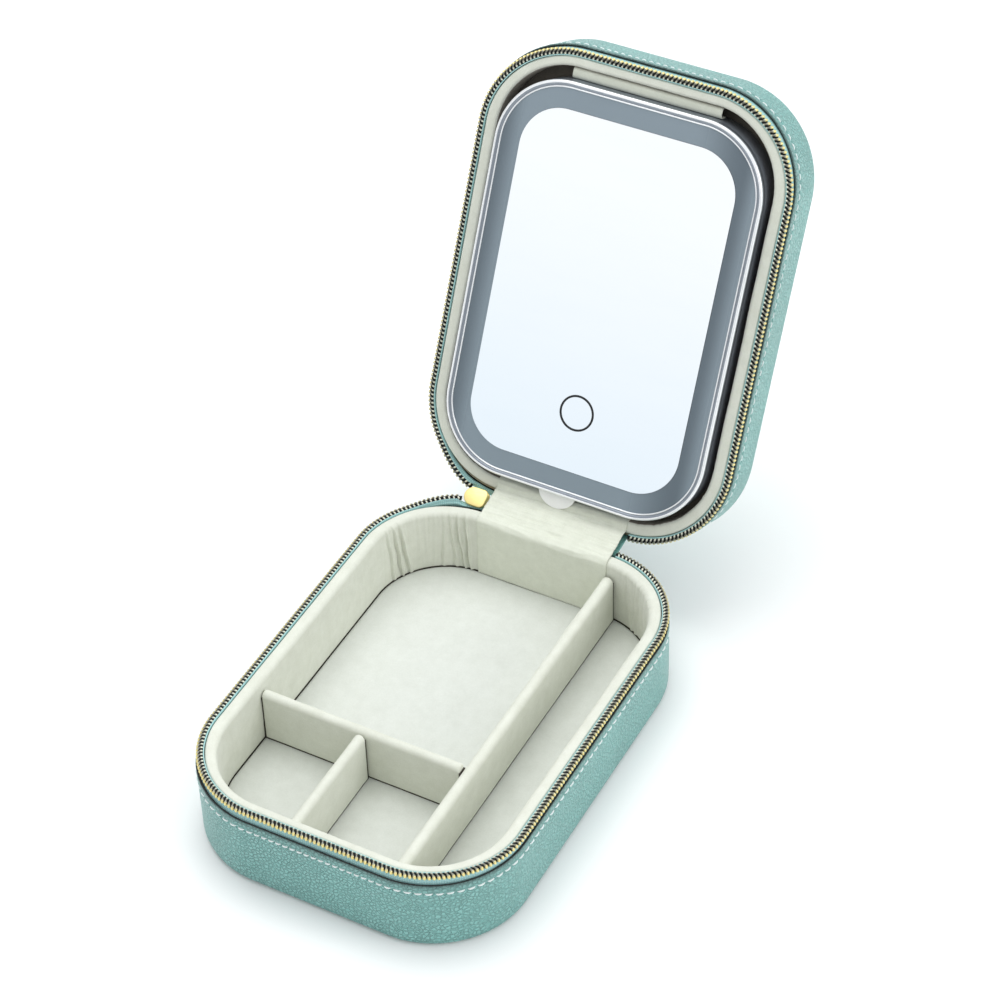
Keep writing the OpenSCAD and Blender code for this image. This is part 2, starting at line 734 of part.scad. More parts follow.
// The lamps, spread evenly along the straight sides of the light board.
module lamps() {
    lamp = [2.8, 3.5, 0.7];     // width, length and height
    mid = led_in0 + led_board_w / 3;
    long_run = mirror_l - 2 * mirror_r;
    short_run = mirror_w - 2 * mirror_r;
    in_mirror() color("#fff3c0") translate([0, 0, -led_board_back + lamp[2] / 2]) {
        for (s = [-1, 1], i = [0:leds_long - 1])
            translate([s * (mirror_w / 2 - mid), ((i + 0.5) / leds_long - 0.5) * long_run, 0])
                cube(lamp, center = true);
        for (s = [-1, 1], i = [0:leds_short - 1])
            translate([((i + 0.5) / leds_short - 0.5) * short_run, s * (mirror_l / 2 - mid), 0])
                rotate(90) cube(lamp, center = true);
    }
}

// The rear cover, with a wall that holds the light board and pockets for the magnets.
module mirror_rear_cover() {
    wall_in = frame_t + glue;
    wall_t = 1.4;
    boss_wall = 1.2;
    in_mirror() color("#dfe2e4") difference() {
        union() {
            plate(mirror_w, mirror_l, mirror_r, wall_in, -mirror_t, -mirror_t + cover_t);
            around_mirror()
                band(wall_in, wall_in + wall_t, -mirror_t, -led_board_back - led_board_t - glue);
            translate([0, 0, -mirror_t]) at_magnets()
                cylinder(d = magnet_d + 2 * boss_wall, h = magnet_t + boss_wall);
        }
        translate([0, 0, -mirror_t - overcut]) at_magnets()
            cylinder(d = magnet_d + 2 * glue, h = magnet_t + glue + overcut);
        translate([0, 0, -mirror_t - overcut]) at_posts() {
            cylinder(r = screw_head_r + run_gap, h = screw_head_t + overcut);
            cylinder(r = screw_r + 2 * run_gap, h = cover_t + 2 * overcut);
        }
        translate([0, -mirror_l / 2, -socket_mid])
            cube([slot_w, 2 * (wall_in + wall_t + glue), slot_h], center = true);
    }
}

module cover_screws() {
    in_mirror() color("silver") translate([0, 0, -mirror_t]) at_posts() {
        cylinder(r = screw_head_r, h = screw_head_t - glue);
        cylinder(r = screw_r, h = cover_t + screw_grip);
    }
}

module touch_sensor() {
    in_mirror() color("#b87333") translate([0, -touch_y, -front_stack - glue - sensor_t])
        cylinder(d = touch_d, h = sensor_t);
}

// The control board starts just inside the rear cover's wall, beside the frame's slot.
control_gap = 2;
control_y0 = -mirror_l / 2 + frame_t + control_gap;
control_mid = control_y0 + control_l / 2;

module control_board() {
    in_mirror() color("#2f6b45") translate([0, control_mid, -control_back + control_t / 2])
        cube([control_w, control_l, control_t], center = true);
}

module charging_socket() {
    set_back = 0.8;
    mouth = -mirror_l / 2 + set_back;
    shell = 0.4;
    in_mirror() color("silver") translate([0, mouth + socket_l / 2, -socket_mid]) difference() {
        cube([socket_w, socket_l, socket_h], center = true);
        translate([0, -overcut, 0])
            cube([socket_w - 2 * shell, socket_l, socket_h - 2 * shell], center = true);
    }
}

battery_gap = 8;                                // room for the leads between the board and the battery
battery_y0 = control_y0 + control_l + battery_gap;
battery_pad_t = 0.5;
battery_pad_set_in = 2;
battery_back = mirror_t - cover_t - glue - battery_pad_t - glue;

module battery() {
    in_mirror() color("#a8adb3")
        translate([0, battery_y0 + battery_l / 2, -battery_back + battery_t / 2])
            cube([battery_w, battery_l, battery_t], center = true);
}

module battery_pad() {
    in_mirror() color("#44484c") translate([0, battery_y0 + battery_l / 2,
        -mirror_t + cover_t + glue + battery_pad_t / 2])
        cube([battery_w - 2 * battery_pad_set_in, battery_l - 2 * battery_pad_set_in,
            battery_pad_t], center = true);
}

// Two leads from the battery's end, down on to the control board.
module battery_leads() {
    lead_r = 0.5;
    lead_x = 4;
    drop = battery_back - 2 * lead_r;
    y0 = control_y0 + control_l - 4 * lead_r;
    in_mirror() color("#b02a2a") for (x = [-lead_x, lead_x]) translate([x, 0, 0]) {
        translate([0, battery_y0 - glue, -drop]) rotate([90, 0, 0])
            cylinder(r = lead_r, h = battery_y0 - glue - y0);
        translate([0, y0, -drop]) sphere(lead_r);
        translate([0, y0, -control_back + control_t + glue])
            cylinder(r = lead_r, h = control_back - control_t - glue - drop);
    }
}

// Two leads from the control board up to the light board.
module light_leads() {
    lead_r = 0.45;
    lead_gap = 3.5;             // between the socket and each lead
    lead_x = socket_w / 2 + lead_gap;
    solder_y = 4;               // from the board's edge to the leads
    y = control_y0 + solder_y;
    z0 = -control_back + control_t + glue;
    z1 = -led_board_back - led_board_t - glue;
    in_mirror() color("#d0d0d0") for (x = [-lead_x, lead_x]) translate([x, y, z0])
        cylinder(r = lead_r, h = z1 - z0);
}

module magnets() {
    in_mirror() color("silver") translate([0, 0, -mirror_t]) at_magnets()
        cylinder(d = magnet_d, h = magnet_t);
}

// The rounded tab at the hinge end, level with the zip line.
module pull_tab() {
    in_mirror() color("white") translate([-tab_x, -mirror_l / 2 - glue, -mirror_proud])
        linear_extrude(tab_t) difference() {
            translate([0, tab_d / 2 - tab_reach]) circle(d = tab_d);
            translate([-tab_d, 0]) square([2 * tab_d, tab_d]);
        }
}

base_bottom_panel();
base_board_tray();
base_wall_leather();
base_stitch_thread();
base_zip_tape();
base_zip_teeth();
base_lining();
base_floor_pad();
long_divider();
cross_divider();
short_divider();
hinge_flap_base();
zip_slider();
zip_bail();
zip_pull();
hinge_flap_bridge();
spine_strip();
lid_top_panel();
lid_board_tray();
lid_wall_leather();
lid_stitch_thread();
lid_zip_tape();
lid_zip_teeth();
lid_lining();
lid_recess_pad();
hinge_flap_lid();
mirror_strap();
catch_plates();
mirror_frame();
light_panel();
mirror_glass();
touch_ring();
glass_carrier();
light_board();
lamps();
mirror_rear_cover();
cover_screws();
touch_sensor();
control_board();
charging_socket();
battery();
battery_pad();
battery_leads();
light_leads();
magnets();
pull_tab();
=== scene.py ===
"""The looks of a zip-around travel vanity case with a lit mirror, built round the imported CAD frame.

Sizes in the classes are in millimetres and repeat the CAD model's. Each half of the case has its own
frame: x runs along the hinge, +y towards the hinge and z out of the open side, with z = 0 on the zip
line. Insets are measured inwards from the side leather's outer face.
"""

import json
import logging
import math
from dataclasses import dataclass, field
from enum import Enum
from typing import Any, Callable, Optional, Sequence

import bmesh
import bpy
import numpy as np
from mathutils import Matrix, Vector, noise

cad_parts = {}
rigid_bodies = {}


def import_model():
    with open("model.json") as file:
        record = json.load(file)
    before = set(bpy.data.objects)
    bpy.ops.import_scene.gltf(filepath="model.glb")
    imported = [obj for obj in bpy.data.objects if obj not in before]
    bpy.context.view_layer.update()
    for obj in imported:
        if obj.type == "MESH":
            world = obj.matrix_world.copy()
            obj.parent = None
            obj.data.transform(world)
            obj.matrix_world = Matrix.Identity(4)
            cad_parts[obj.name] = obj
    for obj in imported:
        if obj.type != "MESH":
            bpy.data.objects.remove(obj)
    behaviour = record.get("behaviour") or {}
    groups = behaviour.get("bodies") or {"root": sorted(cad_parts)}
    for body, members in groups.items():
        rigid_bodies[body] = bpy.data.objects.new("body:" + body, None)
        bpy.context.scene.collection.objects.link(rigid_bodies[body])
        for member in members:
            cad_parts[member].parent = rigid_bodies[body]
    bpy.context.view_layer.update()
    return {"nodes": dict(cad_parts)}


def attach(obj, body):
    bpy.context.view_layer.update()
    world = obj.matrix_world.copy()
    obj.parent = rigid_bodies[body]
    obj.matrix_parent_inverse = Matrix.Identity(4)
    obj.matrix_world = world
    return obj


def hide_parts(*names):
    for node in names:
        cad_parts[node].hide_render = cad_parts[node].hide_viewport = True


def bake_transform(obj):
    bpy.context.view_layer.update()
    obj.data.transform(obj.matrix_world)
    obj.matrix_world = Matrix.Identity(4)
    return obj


for leftover in list(bpy.data.objects):
    bpy.data.objects.remove(leftover)
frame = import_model()

log = logging.getLogger("vanity_case")
MM = 0.001
TAU = 2 * math.pi
GLUE = 0.06             # the glue between two pieces, in millimetres
PLATE_STEP = 1.6        # the distance between the points of a flat plate, in millimetres

Tree = bpy.types.NodeTree
Socket = bpy.types.NodeSocket
Thing = bpy.types.Object
Pair = tuple[float, float]


# ---------------------------------------------------------------- finishes

def linear(colour: str) -> tuple[float, float, float, float]:
    """Turns an sRGB hex colour into the linear values that a shader takes.

    Args:
        colour: The colour as "#rrggbb".

    Returns:
        Linear red, green and blue, and an alpha of 1.
    """
    parts = [int(colour[i:i + 2], 16) / 255 for i in (1, 3, 5)]
    red, green, blue = (c / 12.92 if c <= 0.04045 else ((c + 0.055) / 1.055) ** 2.4 for c in parts)
    return red, green, blue, 1.0


def add(tree: Tree, kind: str, inputs: Optional[dict] = None, **settings: Any) -> bpy.types.Node:
    """Adds a node to a material, with its settings and links.

    Args:
        tree: The material's node tree.
        kind: The node's type name.
        inputs: Values or other nodes' outputs, by input name or number.
        **settings: The node's own properties.

    Returns:
        The new node.
    """
    made = tree.nodes.new(kind)
    for name, value in settings.items():
        setattr(made, name, value)
    for socket, value in (inputs or {}).items():
        if isinstance(value, bpy.types.NodeSocket):
            tree.links.new(value, made.inputs[socket])
        else:
            made.inputs[socket].default_value = value
    return made


def maths(tree: Tree, operation: str, *values: Any) -> Socket:
    """Adds a calculation.

    Args:
        tree: The node tree.
        operation: The calculation's type name.
        *values: Its numbers, or other nodes' outputs.

    Returns:
        Its result.
    """
    return add(tree, "ShaderNodeMath", dict(enumerate(values)), operation=operation).outputs["Value"]


def remap(tree: Tree, value: Socket, to: Pair = (0.0, 1.0), span: Pair = (0.0, 1.0),
          kind: str = "LINEAR") -> Socket:
    """Adds a change of a value from one span to another.

    Args:
        tree: The node tree.
        value: The value.
        to: What the ends of the span become.
        span: The span's ends, beyond which the value is cut off.
        kind: How the value runs between them.

    Returns:
        The new value.
    """
    return add(tree, "ShaderNodeMapRange", {"Value": value, "From Min": span[0], "From Max": span[1],
               "To Min": to[0], "To Max": to[1]}, interpolation_type=kind).outputs["Result"]


def surface(tree: Tree, kind: str = "Object") -> Socket:
    """Adds the place on the surface at which a pattern is looked up, and returns it."""
    return add(tree, "ShaderNodeTexCoord").outputs[kind]


def speckle(tree: Tree, place: Socket, size: float, detail: float = 2.0, roughness: float = 0.5,
            output: str = "Fac") -> Socket:
    """Adds noise with features of one size.

    Args:
        tree: The node tree.
        place: Where it is looked up.
        size: The size of its features, in millimetres.
        detail: How many finer layers it has.
        roughness: How strong those are.
        output: Which of its outputs is wanted.

    Returns:
        The output.
    """
    return add(tree, "ShaderNodeTexNoise", {"Vector": place, "Scale": 1 / (size * MM), "Detail": detail,
               "Roughness": roughness}).outputs[output]


def threads(tree: Tree, place: Socket, size: float, way: str = "X", distortion: float = 0.0) -> Socket:
    """Adds round threads side by side.

    Args:
        tree: The node tree.
        place: Where they are looked up.
        size: The distance between two of them, in millimetres.
        way: The direction in which they follow each other.
        distortion: How unevenly they lie.

    Returns:
        Their height, from 0 to 1.
    """
    turns = TAU / (20 * size * MM)      # a wave texture repeats every 2 pi / 20 of its scale
    return add(tree, "ShaderNodeTexWave", {"Vector": place, "Scale": turns, "Distortion": distortion,
               "Detail": 1.0}, bands_direction=way).outputs["Fac"]


@dataclass(frozen=True)
class Finish:
    """What a surface is made of. A subclass draws the pattern that the real surface has, and a few also paint light or
    shade into it.

    Args:
        name: The real material, and how its surface was made.
        colour: The main colour, in sRGB hex.
        second: The colour that the pattern's low places take.
        roughness: The shader's roughness.
        grain: Size of the pattern, in millimetres.
        depth: Depth of the pattern's relief, in millimetres.
        blotch: Size of the slow change of colour over the surface, in millimetres.
        blotch_share: How strongly the slow change shows, from 0 to 1.
        ior: The index of refraction, where the surface has no metal in it.
        metallic: How far the surface is metal, from 0 to 1.
        sheen: Weight of the soft light on a nap.
        coat: Weight of a clear coat.
        coat_roughness: The coat's roughness.
        rough_swing: How far the pattern swings the roughness to either side.
        burnish: How much darker the surface is painted where a piece marks it: painted shade, and on the coil also its
            dark dye.
    """

    name: str
    colour: str
    second: str
    roughness: float
    grain: float
    depth: float
    blotch: float = 40.0
    blotch_share: float = 0.15
    ior: float = 1.5
    metallic: float = 0.0
    sheen: float = 0.0
    coat: float = 0.0
    coat_roughness: float = 0.1
    rough_swing: float = 0.06
    burnish: float = 0.8

    def pattern(self, tree: Tree) -> tuple[Socket, Socket]:
        """Draws the fine grain of a plain moulded surface.

        Args:
            tree: The material's node tree.

        Returns:
            How much of the second colour shows, and the relief's height, both from 0 to 1.
        """
        grain = speckle(tree, surface(tree), self.grain, 3.0, 0.6)
        return grain, grain

    def build(self) -> bpy.types.Material:
        """Makes the material, or returns it if it was made before."""
        if self.name in bpy.data.materials:
            return bpy.data.materials[self.name]
        material = bpy.data.materials.new(self.name)
        material.use_nodes = True
        tree = material.node_tree
        tree.nodes.clear()
        low, height = self.pattern(tree)
        slow = speckle(tree, surface(tree), self.blotch)
        weight = remap(tree, slow, (1 - self.blotch_share, 1 + self.blotch_share), (0.3, 0.7))
        mixed = add(tree, "ShaderNodeMix", {0: low, 6: linear(self.colour), 7: linear(self.second)},
                    data_type="RGBA")
        # The piece's mask darkens the colour: painted shade, and on the coil also its dark dye.
        shade_mask = add(tree, "ShaderNodeAttribute", attribute_name="burnish")
        dark = maths(tree, "MULTIPLY_ADD", shade_mask.outputs["Fac"], -self.burnish, 1.0)
        toned = add(tree, "ShaderNodeHueSaturation", {"Value": maths(tree, "MULTIPLY", weight, dark),
                    "Color": mixed.outputs[2]})
        rough = remap(tree, low, (max(0.02, self.roughness - self.rough_swing),
                                  min(1.0, self.roughness + self.rough_swing)))
        bump = add(tree, "ShaderNodeBump", {"Height": height, "Strength": 1.0, "Distance": self.depth * MM})
        shader = add(tree, "ShaderNodeBsdfPrincipled", {
            "Base Color": toned.outputs["Color"], "Roughness": rough, "Normal": bump.outputs["Normal"],
            "Metallic": self.metallic, "Coat Weight": self.coat, "Coat Roughness": self.coat_roughness,
            "Sheen Weight": self.sheen, "Sheen Roughness": 0.45})
        if not self.metallic:
            shader.inputs["IOR"].default_value = self.ior
        add(tree, "ShaderNodeOutputMaterial", {"Surface": shader.outputs["BSDF"]})
        return material


class EmbossedLeather(Finish):
    """Coated leather with a rolled pebble grain: round islands with creases between them."""

    drift = 0.0009      # how much of the drift's noise is mixed into the pebbles' places
    slope = 0.2         # how far a pebble slopes up from its crease
    fine = 0.06         # the share of the fine grain in the relief

    def pattern(self, tree: Tree) -> tuple[Socket, Socket]:
        """Draws pebbles with a fine grain on them, and returns the creases and the relief."""
        place = surface(tree)
        wander = speckle(tree, place, 2 * self.grain, output="Color")
        bent = add(tree, "ShaderNodeMix", {0: self.drift, 4: place, 5: wander}, data_type="VECTOR")
        pebble = add(tree, "ShaderNodeTexVoronoi", {"Vector": bent.outputs[1], "Scale": 1 / (self.grain * MM),
                     "Randomness": 0.9}, feature="DISTANCE_TO_EDGE")
        dome = remap(tree, pebble.outputs["Distance"], span=(0.0, self.slope), kind="SMOOTHSTEP")
        height = maths(tree, "MULTIPLY_ADD", speckle(tree, place, self.grain / 5), self.fine, dome)
        return remap(tree, dome, (1.0, 0.0)), height


class Suede(Finish):
    """Microfibre suede: a short nap that lies in soft patches, over a knitted back."""

    patch_share = 0.45      # the share of the patches in the shade
    patch_grain = 0.09      # the nap's grain as a share of a patch

    def pattern(self, tree: Tree) -> tuple[Socket, Socket]:
        """Draws the nap, and returns its shade and its relief."""
        place = surface(tree)
        nap = speckle(tree, place, self.grain, 4.0, 0.75)
        patch = speckle(tree, place, self.grain / self.patch_grain, 3.0, 0.6)
        both = add(tree, "ShaderNodeMix", {0: self.patch_share, 2: nap, 3: patch})
        return remap(tree, both.outputs[0], span=(0.36, 0.64)), nap


class Woven(Finish):
    """Cloth woven of two sets of threads. Its pattern follows the piece's own layout."""

    def pattern(self, tree: Tree) -> tuple[Socket, Socket]:
        """Draws both sets of threads, and returns the gaps and the relief."""
        place = surface(tree, "UV")
        warp, weft = (threads(tree, place, self.grain, way, 0.6) for way in ("X", "Y"))
        top = maths(tree, "MULTIPLY", warp, weft)
        return remap(tree, top, (1.0, 0.0)), top


class Twisted(Finish):
    """Sewing thread: plies that wind round each other along the thread."""

    slant = math.radians(35)

    def pattern(self, tree: Tree) -> tuple[Socket, Socket]:
        """Draws the plies on the slant, and returns the grooves and the relief."""
        turned = add(tree, "ShaderNodeMapping", {"Vector": surface(tree, "UV"), "Rotation": (0, 0, self.slant)})
        ply = threads(tree, turned.outputs["Vector"], self.grain)
        return remap(tree, ply, (1.0, 0.0)), ply


class Metal(Finish):
    """Plated or painted metal, with the faint orange peel and small scratches that handling leaves."""

    stretch = (0.25, 1.0, 1.0)

    def pattern(self, tree: Tree) -> tuple[Socket, Socket]:
        """Draws long fine scratches, and returns them and the relief."""
        drawn = add(tree, "ShaderNodeMapping", {"Vector": surface(tree), "Scale": self.stretch})
        lines = speckle(tree, drawn.outputs["Vector"], self.grain, 3.0)
        return lines, lines


class PlatedCoil(Finish):
    """Plastic coil under a thin metal film on its outer leg. The pattern follows each loop from its outer leg to its
    top; past the film the pale colour is a painted highlight on the loops' tops.
    """

    worn_from, worn_to = 0.24, 0.36     # where along a loop the gold film ends and the pale painted highlight begins

    def pattern(self, tree: Tree) -> tuple[Socket, Socket]:
        """Draws where the gold film lies, on a loop's outer leg, and returns it twice."""
        along = add(tree, "ShaderNodeSeparateXYZ", {"Vector": surface(tree, "UV")}).outputs["X"]
        thick = remap(tree, along, (1.0, 0.0), (self.worn_from, self.worn_to), "SMOOTHSTEP")
        return thick, thick


class Frosted(Finish):
    """Glass with a sandblasted back. Its grey deepens across each side as painted shade."""

    # Each painted-shade slope's start and end along x, in millimetres, and how deep the grey is at both.
    slopes = ((-50, -41, 1.0, 0.15), (22, 43, 0.15, 1.0), (43, 50.5, 1.0, 0.1))

    def pattern(self, tree: Tree) -> tuple[Socket, Socket]:
        """Draws the blasted grit, and returns the painted shade that deepens across each side and the grit's relief.
        """
        place = surface(tree)
        grit = speckle(tree, place, self.grain)
        across = add(tree, "ShaderNodeSeparateXYZ", {"Vector": place}).outputs["X"]
        left, right, rim = (remap(tree, across, (first, last), (start * MM, end * MM), "SMOOTHSTEP")
                            for start, end, first, last in self.slopes)
        return maths(tree, "MAXIMUM", left, maths(tree, "MINIMUM", right, rim)), grit


class Stock(Enum):
    """Every material of the case, named for what the real one is and how it was made, and for the light or shade
    painted into it.
    """

    # Coated leather, rolled with a pebble grain: soft, slightly waxy highlights on rounded islands.
    LEATHER = EmbossedLeather("leather_pebble_rolled", "#80b7b1", "#79b0aa", 0.42, 1.5, 0.45,
                              blotch=30, blotch_share=0.06, coat=0.2, coat_roughness=0.32)
    # The same leather skived thin for the spine.
    SPINE = EmbossedLeather("leather_spine_skived", "#74aaa3", "#649b95", 0.5, 1.0, 0.05, blotch_share=0.05)
    # Polyester sewing thread, bonded: bright, faintly glossy twisted plies.
    THREAD = Twisted("thread_bonded_polyester", "#f8fbfa", "#dbe7e5", 0.5, 0.45, 0.04, blotch_share=0.03)
    # Zip tape, woven polyester: a fine ribbed cloth, a little brighter than the leather.
    TAPE = Woven("tape_woven_polyester", "#bcdfdd", "#96c6c6", 0.7, 0.8, 0.08, blotch_share=0.05, sheen=0.2)
    # The cord inside the coil, braided; its near-black colour is painted shade: it reads as the black between the
    # teeth.
    CORD = Twisted("cord_braided_dark", "#10191a", "#060a0a", 0.9, 0.5, 0.05, blotch_share=0.05)
    # Edge paint on the cut edges of the leather: a thin, nearly black line. On the top edge it also paints the shade
    # in the gap under the tape.
    EDGE = Finish("edge_paint_brushed", "#14302f", "#0a1c1c", 0.6, 0.6, 0.02, blotch_share=0.1)
    # Polyester coil, metallised in pale gold outside and dyed dark inside: a gold row, and a row of pale ticks that
    # are a painted highlight on the loops' tops. The mask darkens it for the dye and as painted shade.
    COIL = PlatedCoil("coil_metallised_gold", "#e9e9d6", "#efdf98", 0.34, 0.3, 0.0, metallic=0.55,
                      blotch_share=0.04, burnish=0.93)
    # Zinc castings, plated in pale gold: smooth and satin, with soft reflections.
    GOLD = Metal("zinc_cast_pale_gold", "#fbe9a4", "#f5dd8e", 0.42, 0.4, 0.003, metallic=0.75, blotch_share=0.03)
    # Microfibre suede over foam: a dry, pale nap with soft patches and no highlight.
    SUEDE = Suede("suede_microfibre_padded", "#dfe1d5", "#d3d5c7", 0.92, 0.4, 0.06, blotch_share=0.02, sheen=0.2)
    # The same suede wrapped tightly over board for the floor and dividers.
    SUEDE_BOARD = Suede("suede_microfibre_wrapped", "#dcdfd8", "#d2d5cd", 0.92, 0.4, 0.05, blotch_share=0.02,
                        sheen=0.2)
    # Cut edge of the board core, painted dark for the shade in each joint: it draws the thin line along each joint.
    CORE = Finish("greyboard_cut_edge", "#4e483f", "#3c3731", 0.95, 0.5, 0.03, blotch_share=0.1)
    # Lid lining below its rim, in a brown-grey that paints the shade of the gap round the mirror.
    RECESS = Suede("cloth_backing_recess", "#a39b8e", "#857e73", 0.95, 0.4, 0.05, blotch_share=0.05)
    # The hinge flap's cloth, a slightly yellower brushed cotton.
    FLAP = Suede("cotton_brushed_flap", "#e1e4d5", "#d5d8c8", 0.95, 0.35, 0.05, blotch_share=0.02, sheen=0.2)
    # Greyboard: pressed paper pulp, speckled and dull.
    GREYBOARD = Finish("greyboard_pressed", "#a79c88", "#8a806e", 0.95, 0.5, 0.02, blotch_share=0.08)
    # Paper-covered card of the recess board, painted dark grey-brown for the shade in the gap round the mirror.
    CARD = Suede("card_covered_recess", "#6a645a", "#59544b", 0.9, 0.4, 0.03)
    # ABS moulding, painted silver and lacquered; this near-white copy is a painted highlight on the bead's crest and
    # the inner lip.
    SILVER = Metal("abs_silver_polished", "#fafbfc", "#eef0f2", 0.32, 0.5, 0.002, metallic=0.6, coat=0.3,
                   blotch_share=0.02)
    # The same moulding in a darker blue grey on its walls and in its groove: a painted darker reflection, with the
    # crest's roughness.
    SATIN = Metal("abs_silver_satin", "#969da6", "#858c95", 0.32, 0.5, 0.004, metallic=0.6, coat=0.15,
                  blotch_share=0.03)
    # Light panel: the back of the glass is sandblasted, so it looks blue-grey and milky when unlit; its darker second
    # colour is painted shade across each side.
    FROST = Frosted("glass_sandblasted_panel", "#82919b", "#54626c", 0.3, 0.12, 0.003, ior=1.5, coat=0.5,
                    blotch_share=0.03)
    # Mirror glass, silvered on its back: a clean sharp reflection with a trace of blue.
    MIRROR = Metal("glass_silvered_mirror", "#f4f8fb", "#f1f6fa", 0.03, 8.0, 0.0, metallic=1.0, blotch_share=0.0,
                   rough_swing=0.005)
    # Screen-printed ink on the glass: matt, nearly black.
    INK = Finish("ink_screen_printed", "#14161a", "#0c0e11", 0.6, 0.2, 0.002, blotch_share=0.05)
    # Glossy white polypropylene film, die cut.
    TAB = Finish("polypropylene_film_die_cut", "#fcfcfa", "#f4f4f0", 0.35, 0.6, 0.004, blotch_share=0.02)
    # ABS mouldings inside the mirror, white and light grey, with a fine spark-eroded texture.
    WHITE_ABS = Finish("abs_moulded_white", "#f0f1ef", "#e3e4e2", 0.45, 0.3, 0.01, blotch_share=0.03)
    GREY_ABS = Finish("abs_moulded_grey", "#dfe2e4", "#cfd2d5", 0.5, 0.3, 0.015, blotch_share=0.03)
    # Glass-fibre laminate under solder mask, white for the light board and green for the controls.
    WHITE_BOARD = Woven("laminate_masked_white", "#f2f2ee", "#dedfda", 0.4, 0.5, 0.01, blotch_share=0.03)
    GREEN_BOARD = Woven("laminate_masked_green", "#2f6b45", "#215236", 0.35, 0.5, 0.01, blotch_share=0.05)
    # Silicone resin of the lamps, tinted by its phosphor.
    RESIN = Finish("resin_phosphor_cast", "#f6e9a8", "#ead988", 0.3, 0.4, 0.005, ior=1.41)
    # Plated steel of the screws, catch plates and socket, and the nickel on the magnets.
    STEEL = Metal("steel_zinc_plated", "#c6cace", "#a9aeb3", 0.3, 0.3, 0.004, metallic=1.0)
    NICKEL = Metal("magnet_nickel_plated", "#d5d2ca", "#bcb8ae", 0.2, 0.3, 0.003, metallic=1.0)
    # Aluminium laminate of the battery pouch, lightly creased.
    FOIL = Metal("pouch_aluminium_laminate", "#bfc4c9", "#a3a9af", 0.4, 1.5, 0.03, metallic=0.8)
    # Open-cell foam, copper foil and PVC lead covers.
    FOAM = Suede("foam_open_cell_black", "#3a3d40", "#222427", 0.95, 0.4, 0.1)
    COPPER = Metal("copper_foil_rolled", "#c98d5c", "#a9714a", 0.3, 0.4, 0.005, metallic=1.0)
    RED_LEAD = Finish("pvc_extruded_red", "#b02a2a", "#8f1f1f", 0.4, 0.3, 0.004)
    WHITE_LEAD = Finish("pvc_extruded_white", "#dcdcd8", "#c6c6c2", 0.4, 0.3, 0.004)


def dress(thing: Thing, stock: Stock) -> None:
    """Gives an object one material over all its faces.

    Args:
        thing: The piece or the CAD node.
        stock: The material.
    """
    material = stock.value.build()
    if thing.data.materials:
        for i in range(len(thing.data.materials)):
            thing.data.materials[i] = material
    else:
        thing.data.materials.append(material)


# ---------------------------------------------------------------- shared shapes

def ease(share: np.ndarray) -> np.ndarray:
    """Returns a share, cut off at 0 and 1, that starts and ends softly."""
    share = np.clip(share, 0, 1)
    return share * share * (3 - 2 * share)


@dataclass(frozen=True)
class Outline:
    """A rectangle with round corners, walked from the middle of its hinge side towards -x."""

    width: float
    length: float
    radius: float

    def inset(self, by: float) -> "Outline":
        """Returns the outline that lies this far inside."""
        return Outline(self.width - 2 * by, self.length - 2 * by, self.radius - by)

    def runs(self) -> list[tuple[float, bool]]:
        """Returns the lengths of the nine stretches and whether each is a corner."""
        half, side = self.width / 2 - self.radius, self.length - 2 * self.radius
        arc = math.pi * self.radius / 2
        return [(half, False), (arc, True), (side, False), (arc, True), (2 * half, False), (arc, True),
                (side, False), (arc, True), (half, False)]

    @property
    def around(self) -> float:
        """The whole distance round."""
        return sum(run for run, _ in self.runs())

    def at(self, distance: np.ndarray) -> tuple[np.ndarray, np.ndarray]:
        """Finds the points at some distances round the outline.

        Args:
            distance: Distances from the middle of the hinge side.

        Returns:
            The points and the outward directions there, each with two numbers a row.
        """
        s = np.mod(np.asarray(distance, float), self.around)
        a, b, r = self.width / 2 - self.radius, self.length / 2 - self.radius, self.radius
        spots, facing = np.zeros((len(s), 2)), np.zeros((len(s), 2))
        centres = [(-a, b), (-a, b), (-a, -b), (-a, -b), (a, -b), (a, -b), (a, b), (a, b), (a, b)]
        starts = [(0, b), (-a, b), (-a, b), (-a, -b), (-a, -b), (a, -b), (a, -b), (a, b), (a, b)]
        begin, angle = 0.0, math.pi / 2
        for (run, corner), centre, start in zip(self.runs(), centres, starts):
            here = (s >= begin - 1e-9) & (s <= begin + run + 1e-9)
            past = s[here] - begin
            turn = angle + (past / r if corner else 0 * past)
            out = np.stack([np.cos(turn), np.sin(turn)], 1)
            along = np.array([-math.sin(angle), math.cos(angle)])
            base = np.array(centre if corner else start, float) + (0 if corner else past[:, None] * along)
            spots[here], facing[here] = base + r * out, out
            begin += run
            angle += math.pi / 2 if corner else 0
        return spots, facing

    def marks(self, step: float) -> np.ndarray:
        """Returns distances about a step apart, with one on each end of every stretch."""
        found, begin = [], 0.0
        half_count = max(1, round(self.runs()[0][0] / step))
        for i, (run, corner) in enumerate(self.runs()):
            count = (half_count * (2 if i == 4 else 1)) if i in (0, 4, 8) else max(1, round(run / step))
            found.append(begin + run * np.arange(count) / count)
            begin += run
        return np.concatenate(found)

    def run(self, distance: np.ndarray, inset: np.ndarray, height: np.ndarray) -> np.ndarray:
        """Runs a profile round the outline.

        Args:
            distance: Where the profile is placed round the outline.
            inset: The profile's insets, one row a place or one row for all.
            height: The profile's heights, in the same way.

        Returns:
            The points in millimetres, one row a place.
        """
        spots, facing = self.at(distance)
        shape = (len(distance), np.asarray(inset).shape[-1])
        inset, height = np.broadcast_to(inset, shape), np.broadcast_to(height, shape)
        return np.concatenate([spots[:, None] - facing[:, None] * inset[..., None], height[..., None]], -1)


class Side(Enum):
    """The two halves of the case, by the body that each rides on."""

    BASE = "base"
    LID = "lid"


